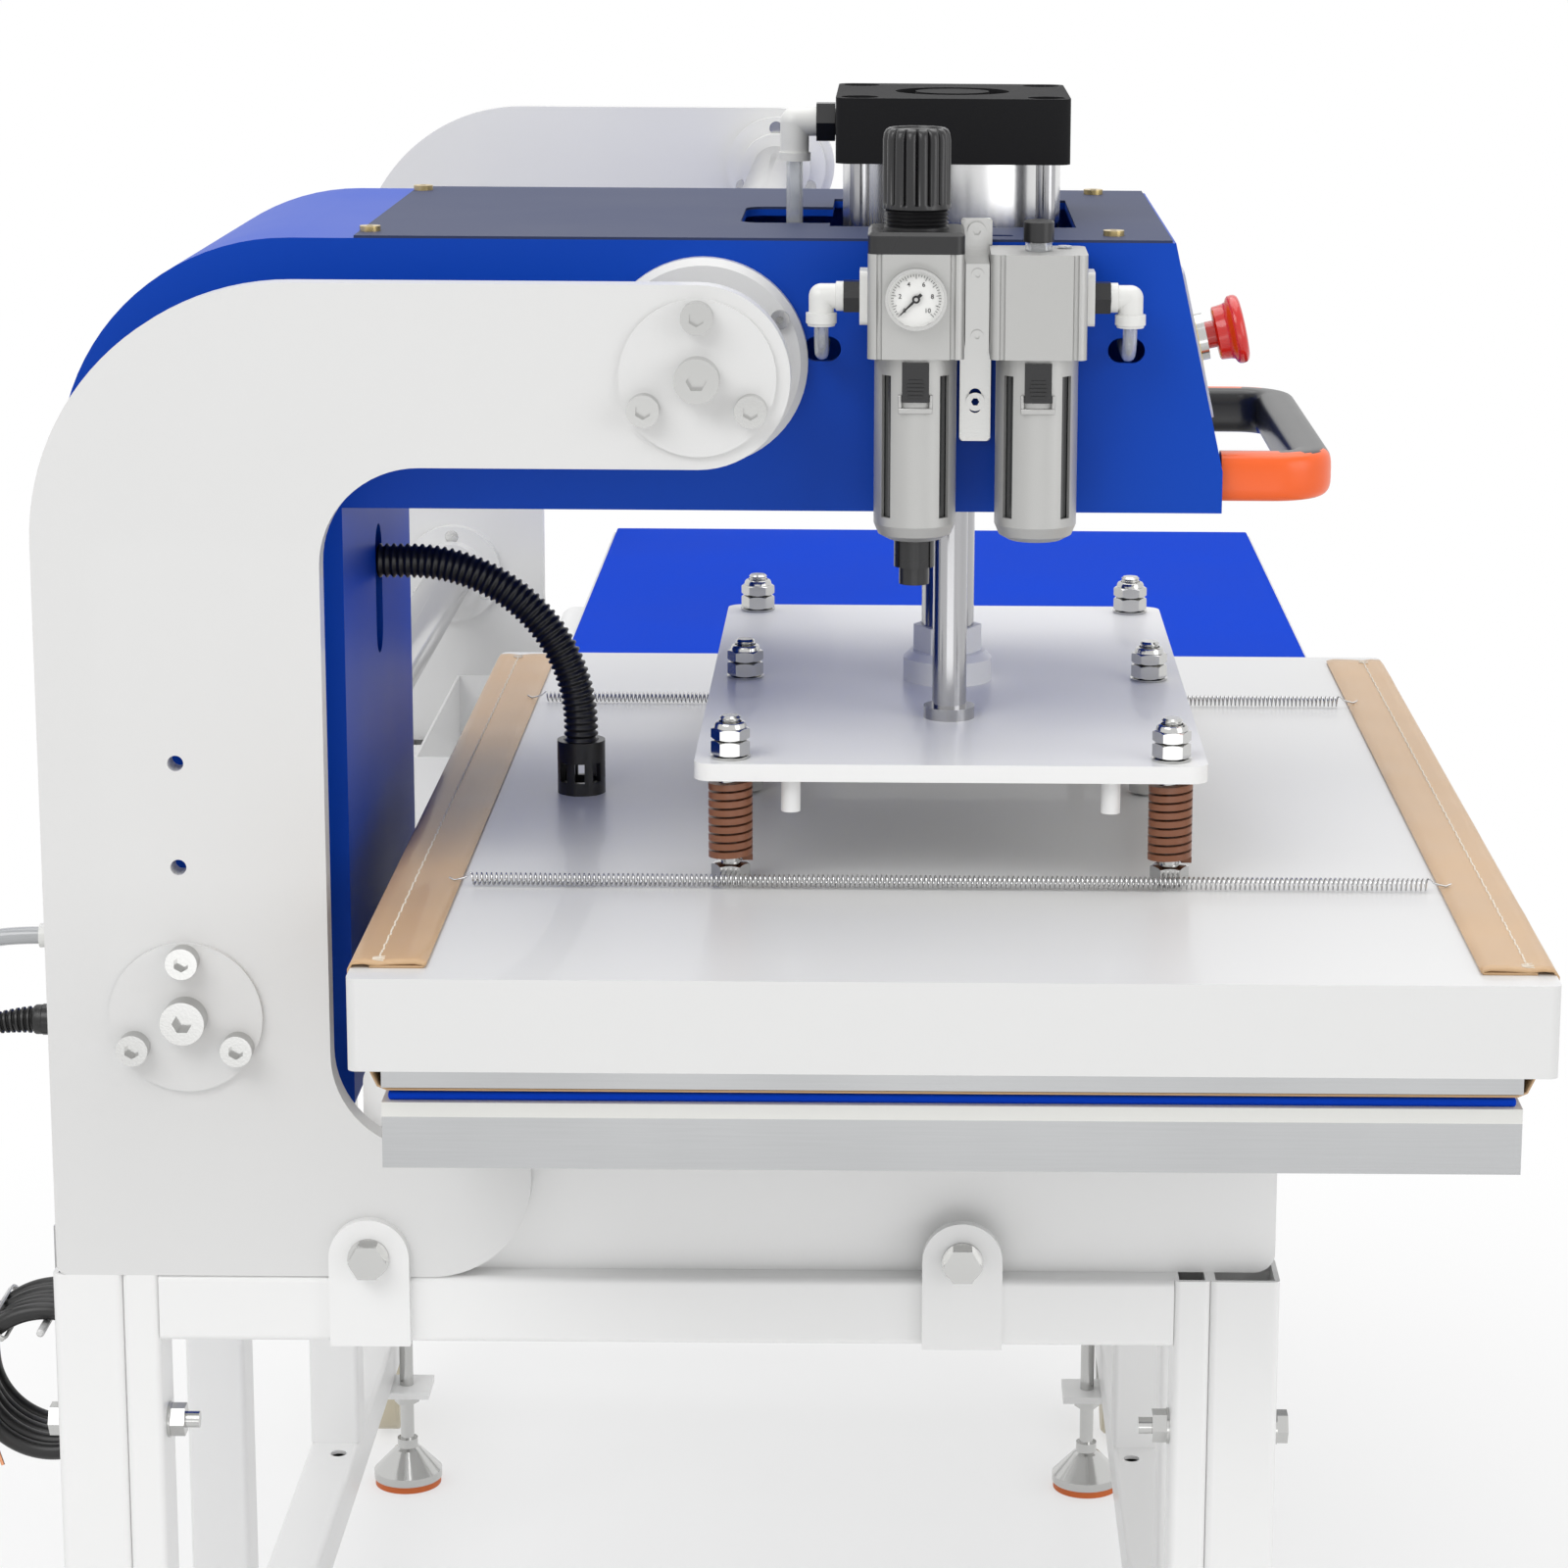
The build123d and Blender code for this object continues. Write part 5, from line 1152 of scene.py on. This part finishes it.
def stud_set(sculpt):
    for side in (-1, 1):
        for row in (-1, 0, 1):
            x, y = station_x + side * stud_x, near_y + row * stud_pitch
            base = Vector((x, y, 0))
            thread = [(studs_low.z, stud_radius - 0.0006), (plate_top + 0.016, stud_radius - 0.0006)]
            for turn in range(5):
                at = plate_top + 0.0165 + turn * thread_pitch
                thread += [(at, stud_radius - thread_depth), (at + thread_pitch / 2, stud_radius)]
            thread.append((studs_high.z, stud_radius - 0.0012))
            lathe(sculpt, base, up, thread, 24)
            nut(sculpt, x, y, studs_low.z + 0.001, studs_low.z + 0.001 + nut_high, nut_flats)
            lathe(
                sculpt, base, up,
                [(plate_top + 0.0002, washer_radius - 0.0003), (plate_top + washer_high, washer_radius)],
                32,
            )
            nut(sculpt, x, y, plate_top + 0.0014, plate_top + 0.0100, nut_flats)
            nut(sculpt, x, y, plate_top + 0.0104, plate_top + 0.0172, nut_flats)
            collar = [
                (plate_top + 0.0168, 0.0090), (plate_top + 0.0186, 0.0089), (plate_top + 0.0200, 0.0082),
                (plate_top + 0.0206, 0.0070), (plate_top + 0.0206, 0.0064), (plate_top + 0.0190, 0.0062),
            ]
            lathe(sculpt, base, up, collar, 32)


studs = new_piece("stud_hardware", stud_set, [zinc], "platen", 35)
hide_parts("platen_studs")

# %% [markdown]
# Push-in elbows have a collar that is pressed to let the tube go, and a plain ring where they meet the
# flange. Each bowl guard has a black latch with grip ribs, held by a small step of the guard.

# %% Elbow collars and latch ribs
tube_holes = (station_x - 0.074, station_x + 0.098)
flange_z = unit_top - 0.026


def elbow_collars(sculpt):
    for hole_x, side in zip(tube_holes, (-1, 1)):
        outlet = Vector((hole_x, unit_y, flange_z))
        ring = [
            (0.0090, 0.0066), (0.0094, 0.0086), (0.0150, 0.0086),
            (0.0156, 0.0078), (0.0166, 0.0076), (0.0166, 0.0052),
        ]
        lathe(sculpt, outlet, -up, ring, 32)
        face = (left_x if side < 0 else right_x) + side * 0.0403
        seat = Vector((face, unit_y, flange_z))
        lathe(
            sculpt, seat, Vector((side, 0, 0)),
            [(0.0, 0.0060), (0.0, 0.0083), (0.0040, 0.0083), (0.0046, 0.0068)],
            32,
        )


new_piece("elbow_collars", elbow_collars, [white_plastic], "head", 40)
latch_top = unit_top - unit_depth - 0.0040


latch_rib_pitch = 0.0022
latch_rib_high = 0.0012


def latch_ribs(sculpt):
    for x in (left_x, right_x):
        front = unit_y - guard_radius - 0.0025
        for row in range(5):
            z = latch_top - 0.0085 - row * latch_rib_pitch
            wide = 0.0050 - 0.0005 * abs(row - 2)
            box_between(sculpt, (x - wide, front - 0.0009, z), (x + wide, front + 0.0005, z + latch_rib_high))


new_piece("latch_ribs", latch_ribs, [black_plastic], "head", 30)


def latch_steps(sculpt):
    for x in (left_x, right_x):
        front = unit_y - guard_radius - 0.0016
        low = latch_top - 0.0235
        box_between(sculpt, (x - 0.0095, front, low - 0.0030), (x + 0.0095, front + 0.0050, low + 0.0002))
        for side in (-1, 1):
            box_between(
                sculpt, (x + side * 0.0086 - 0.0010, front + 0.0004, low),
                (x + side * 0.0086 + 0.0010, front + 0.0060, low + 0.0075),
            )


steps_piece = new_piece("latch_steps", latch_steps, [cast_silver], "head", 30)
step_edge = steps_piece.modifiers.new("soft_edge", "BEVEL")
step_edge.width = 0.0005
step_edge.segments = 2

# %% [markdown]
# The regulator's knob is a tall cap with deep grip ribs. Its rings are circles whose radius dips at sixteen
# narrow grooves. The top rings draw in to a rounded shoulder and a shallow dish.

# %% Regulator knob
knob_low, knob_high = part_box("regulator_knob")
knob_radius = (knob_high.x - knob_low.x) / 2
knob_ribs = 16


def ribbed_outline(radius, depth, segments=160):
    outline = []
    for k in range(segments):
        angle = 2 * math.pi * k / segments
        dip = depth * (1 - abs(math.sin(knob_ribs / 2 * angle)) ** 0.5)
        outline.append(((radius - dip) * math.cos(angle), (radius - dip) * math.sin(angle)))
    return outline


def knob_shape(sculpt):
    skirt = knob_low.z + 0.008
    rows = (
        (skirt, 0.93, 0.0), (skirt, 1.0, 0.0), (skirt + 0.0022, 1.0, 0.0), (skirt + 0.0030, 1.0, 0.0028),
        (knob_high.z - 0.0065, 1.0, 0.0028), (knob_high.z - 0.0030, 0.97, 0.0026),
        (knob_high.z - 0.0010, 0.91, 0.0018),
        (knob_high.z, 0.82, 0.0008), (knob_high.z - 0.0001, 0.74, 0.0), (knob_high.z - 0.0022, 0.70, 0.0),
    )
    middle = Vector((left_x, unit_y, 0))
    rings = []
    for level, share, depth in rows:
        outline = ribbed_outline(knob_radius * share, depth)
        rings.append(lay_ring(sculpt, middle + up * level, Vector((1, 0, 0)), Vector((0, 1, 0)), outline))
    join_rings(sculpt, rings)
    lathe(sculpt, middle, up, [(knob_low.z, 0.0105), (skirt + 0.0006, 0.0105)], 28)
    lathe(
        sculpt, middle, up,
        [(knob_high.z - 0.0026, 0.0128), (knob_high.z - 0.0010, 0.0124), (knob_high.z - 0.0010, 0.0040)],
        40,
    )


knob = new_piece("regulator_grip", knob_shape, [black_plastic], "regulator_handwheel", 40)
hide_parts("regulator_knob")

# %% [markdown]
# The stop button is a lathe's work: a stem, a round body that flares, and a broad rim with a soft edge.
# Its axis stands square to the sloped panel.

# %% Stop button
button_seat = panel_top + panel_down * 0.061


def stop_button_shape(sculpt):
    body_start = 0.0137
    profile = [
        (-0.012, 0.0070), (-0.0115, 0.0078), (body_start - 0.0004, 0.0078), (body_start, 0.0142),
        (body_start + 0.0008, 0.0154), (body_start + 0.0060, 0.0159), (body_start + 0.0084, 0.0166),
        (body_start + 0.0094, 0.0186), (body_start + 0.0106, 0.0197), (body_start + 0.0126, 0.0200),
        (body_start + 0.0146, 0.0197), (body_start + 0.0160, 0.0186), (body_start + 0.0168, 0.0165),
        (body_start + 0.0172, 0.0120), (body_start + 0.0173, 0.0060), (body_start + 0.0173, 0.0010),
    ]
    lathe(sculpt, button_seat, panel_normal, profile, 64)


stop_button = new_piece("stop_mushroom", stop_button_shape, [red_plastic], "stop_button", 50)
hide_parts("estop_button")

# %% [markdown]
# The handle is moulded in two colours: a black inside and grip, and an orange shell on each end. It is one
# closed shape, a rounded section drawn along two arms and the grip between them. Faces on the outer side
# of each arm take the orange.

# %% Handle
handle_low, handle_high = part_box("handle")
handle_depth = 0.0240
handle_bend = 0.0240
handle_split = 0.0125


def soft_outline(wide, high, segments=40, power=0.55):
    outline = []
    for k in range(segments):
        angle = 2 * math.pi * (k + 0.5) / segments
        c, d = math.cos(angle), math.sin(angle)
        outline.append(
            (math.copysign(abs(c) ** power, c) * wide / 2, math.copysign(abs(d) ** power, d) * high / 2)
        )
    return outline


def handle_shape(sculpt):
    z = (handle_low.z + handle_high.z) / 2
    near_line, far_line = handle_low.y + handle_depth / 2, handle_high.y - handle_depth / 2
    grip_line = handle_high.x - handle_depth / 2
    stations = [(Vector((handle_low.x, near_line, z)), 0.0)]
    for step in range(11):
        angle = math.pi / 2 * step / 10
        spot = (
            grip_line - handle_bend + handle_bend * math.sin(angle),
            near_line + handle_bend * (1 - math.cos(angle)),
        )
        stations.append((Vector((*spot, z)), angle))
    for step in range(11):
        angle = math.pi / 2 * (1 + step / 10)
        spot = (
            grip_line - handle_bend + handle_bend * math.sin(angle),
            far_line - handle_bend * (1 + math.cos(angle)),
        )
        stations.append((Vector((*spot, z)), angle))
    stations.append((Vector((handle_low.x, far_line, z)), math.pi))
    outline = soft_outline(handle_depth, handle_high.z - handle_low.z)
    rings = []
    for centre, angle in stations:
        across = Vector((math.sin(angle), -math.cos(angle), 0))
        rings.append(lay_ring(sculpt, centre, across, up, outline))
    join_rings(sculpt, rings)
    for face in sculpt.faces:
        middle = face.calc_center_median()
        outer = min(middle.y - handle_low.y, handle_high.y - middle.y)
        round_end = outer < handle_split + 0.018 and face.normal.x > 0.35
        face.material_index = 1 if outer < handle_split or round_end else 0


handle = new_piece("moulded_handle", handle_shape, [black_plastic, orange_plastic], "head", 50)
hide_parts("handle")

# %% [markdown]
# A dial is read by its marks. A ring of short ticks and plain numbers from 0 to 10 sits on the gauge's
# face, under the needle. The numbers are text, turned to the face and made a mesh.

# %% Gauge marks
dial_y = gauge_low.y + 0.0038
dial_marks = []


def tick_ring(sculpt):
    for step in range(41):
        angle = math.radians(225 - 270 * step / 40)
        long_mark = step % 4 == 0
        inner = 0.0112 if long_mark else 0.0124
        made = box_between(sculpt, (inner, -0.00012, 0), (0.0138, 0.00012, 0.0002))
        turn = Matrix.Rotation(math.pi / 2, 4, "X") @ Matrix.Rotation(angle, 4, "Z")
        bmesh.ops.transform(
            sculpt, matrix=Matrix.Translation((left_x, dial_y, gauge_z)) @ turn, verts=made
        )


new_piece("gauge_ticks", tick_ring, [black_plastic], "head", 30)
for number in range(0, 11, 2):
    angle = math.radians(225 - 270 * number / 10)
    text = bpy.data.curves.new(f"dial_number_{number}", "FONT")
    text.body = str(number)
    text.size = 0.0036
    text.align_x = "CENTER"
    text.align_y = "CENTER"
    text.extrude = 0.00008
    source = bpy.data.objects.new(f"dial_text_{number}", text)
    bpy.context.collection.objects.link(source)
    bpy.context.view_layer.update()
    mesh = bpy.data.meshes.new_from_object(source)
    bpy.data.objects.remove(source)
    place = Vector((left_x + 0.0090 * math.cos(angle), dial_y, gauge_z + 0.0090 * math.sin(angle)))
    mesh.transform(Matrix.Translation(place) @ Matrix.Rotation(math.pi / 2, 4, "X"))
    mesh.materials.append(black_plastic)
    figure = bpy.data.objects.new(f"dial_number_{number}", mesh)
    bpy.context.collection.objects.link(figure)
    dial_marks.append(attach(figure, "head"))
print("dial figures", len(dial_marks))

# %% [markdown]
# The stop button sits on a yellow zone, a round of printed film on the white panel. It follows the
# panel's slope, which leans back by about 12 degrees.

# %% Stop button's zone
zone_radius = 0.029
zone_film = 0.0004


def yellow_zone(sculpt):
    turn = Matrix((Vector((0, 1, 0)), -panel_down, panel_normal)).transposed().to_4x4()
    turn.translation = button_seat + panel_normal * 0.00205
    made = bmesh.ops.create_circle(sculpt, cap_ends=True, segments=64, radius=zone_radius, matrix=turn)
    drawn = bmesh.ops.extrude_face_region(sculpt, geom=list({f for v in made["verts"] for f in v.link_faces}))
    top = [item for item in drawn["geom"] if isinstance(item, bmesh.types.BMVert)]
    bmesh.ops.translate(sculpt, verts=top, vec=panel_normal * zone_film)
    bmesh.ops.recalc_face_normals(sculpt, faces=sculpt.faces)


new_piece("stop_zone_film", yellow_zone, [yellow_print], "head", 30)

# %% [markdown]
# The studio is a pale floor that the camera sees as white, with a broad soft lamp above and softer ones
# in front and at the sides. Light Path keeps the white for the camera, for shiny metal and for what is
# seen through clear plastic, so the object itself is lit only by the lamps and a plain world. The floor's
# white fades in away from the machine and leaves the shadow under it.

# %% Floor, lamps and world
floor_shade = 0.86
floor_half = 9
shadow_ends = (0.5, 1.7)
shadow_white = (0.55, 1.0)


def seen_as_white(tree):
    """1 for the camera's rays, and for those that metal or clear plastic sends on."""
    path = tree.nodes.new("ShaderNodeLightPath")
    sent_on = add_math(tree, "MAXIMUM", path.outputs["Is Glossy Ray"], path.outputs["Is Transmission Ray"])
    return add_math(tree, "MAXIMUM", path.outputs["Is Camera Ray"], sent_on)


floor_mesh = bpy.data.meshes.new("studio_floor")
floor_build = bmesh.new()
bmesh.ops.create_grid(floor_build, x_segments=1, y_segments=1, size=floor_half)
bmesh.ops.translate(floor_build, vec=(0, 3, -0.0005), verts=floor_build.verts)
floor_build.to_mesh(floor_mesh)
floor_build.free()
floor = bpy.data.objects.new("studio_floor", floor_mesh)
bpy.context.collection.objects.link(floor)
floor_paint = bpy.data.materials.new("studio_floor_paint")
floor_paint.use_nodes = True
floor_tree = floor_paint.node_tree
floor_shader = floor_tree.nodes["Principled BSDF"]
floor_shader.inputs["Base Color"].default_value = (floor_shade, floor_shade, floor_shade, 1)
floor_shader.inputs["Roughness"].default_value = 0.9
floor_place = floor_tree.nodes.new("ShaderNodeTexCoord").outputs["Object"]
floor_reach = floor_tree.nodes.new("ShaderNodeVectorMath")
floor_reach.operation = "LENGTH"
floor_tree.links.new(floor_place, floor_reach.inputs[0])
floor_fade = floor_tree.nodes.new("ShaderNodeMapRange")
floor_fade.interpolation_type = "SMOOTHSTEP"
for socket, value in zip(floor_fade.inputs[1:5], shadow_ends + shadow_white):
    socket.default_value = value
floor_tree.links.new(floor_reach.outputs["Value"], floor_fade.inputs["Value"])
floor_share = add_math(floor_tree, "MULTIPLY", floor_fade.outputs["Result"], seen_as_white(floor_tree))
floor_glow = floor_tree.nodes.new("ShaderNodeEmission")
floor_glow.inputs["Strength"].default_value = 1.0
floor_mix = floor_tree.nodes.new("ShaderNodeMixShader")
floor_tree.links.new(floor_share, floor_mix.inputs[0])
floor_tree.links.new(floor_shader.outputs[0], floor_mix.inputs[1])
floor_tree.links.new(floor_glow.outputs[0], floor_mix.inputs[2])
floor_tree.links.new(floor_mix.outputs[0], floor_tree.nodes["Material Output"].inputs["Surface"])
floor_mesh.materials.append(floor_paint)

world = bpy.data.worlds.new("studio")
world.use_nodes = True
bpy.context.scene.world = world
tree = world.node_tree
sky = tree.nodes["Background"]
sky.inputs["Color"].default_value = (1, 1, 1, 1)
sky.inputs["Strength"].default_value = 0.61
seen = tree.nodes.new("ShaderNodeBackground")
seen.inputs["Color"].default_value = (1, 1, 1, 1)
seen.inputs["Strength"].default_value = 1.0
blend = tree.nodes.new("ShaderNodeMixShader")
tree.links.new(seen_as_white(tree), blend.inputs[0])
tree.links.new(sky.outputs[0], blend.inputs[1])
tree.links.new(seen.outputs[0], blend.inputs[2])
tree.links.new(blend.outputs[0], tree.nodes["World Output"].inputs["Surface"])


def lamp(name, place, target, size, power):
    data = bpy.data.lights.new(name, "AREA")
    data.shape = "RECTANGLE"
    data.size, data.size_y = size
    data.energy = power
    thing = bpy.data.objects.new(name, data)
    bpy.context.collection.objects.link(thing)
    thing.location = place
    thing.rotation_euler = (Vector(target) - Vector(place)).to_track_quat("-Z", "Y").to_euler()


lamp("key_lamp", (-1.6, -2.6, 3.2), (0, -0.2, 0.7), (2.4, 1.6), 42)
lamp("fill_lamp", (2.8, -2.4, 1.8), (0, -0.2, 0.7), (2.0, 2.0), 24)
lamp("front_lamp", (0.2, -3.2, 0.3), (0, -0.5, 0.25), (2.2, 0.6), 5)
lamp("top_lamp", (0.2, 0.4, 3.6), (0, 0.1, 0.8), (3.0, 3.0), 48)

scene = bpy.context.scene
scene.view_settings.view_transform = "Standard"
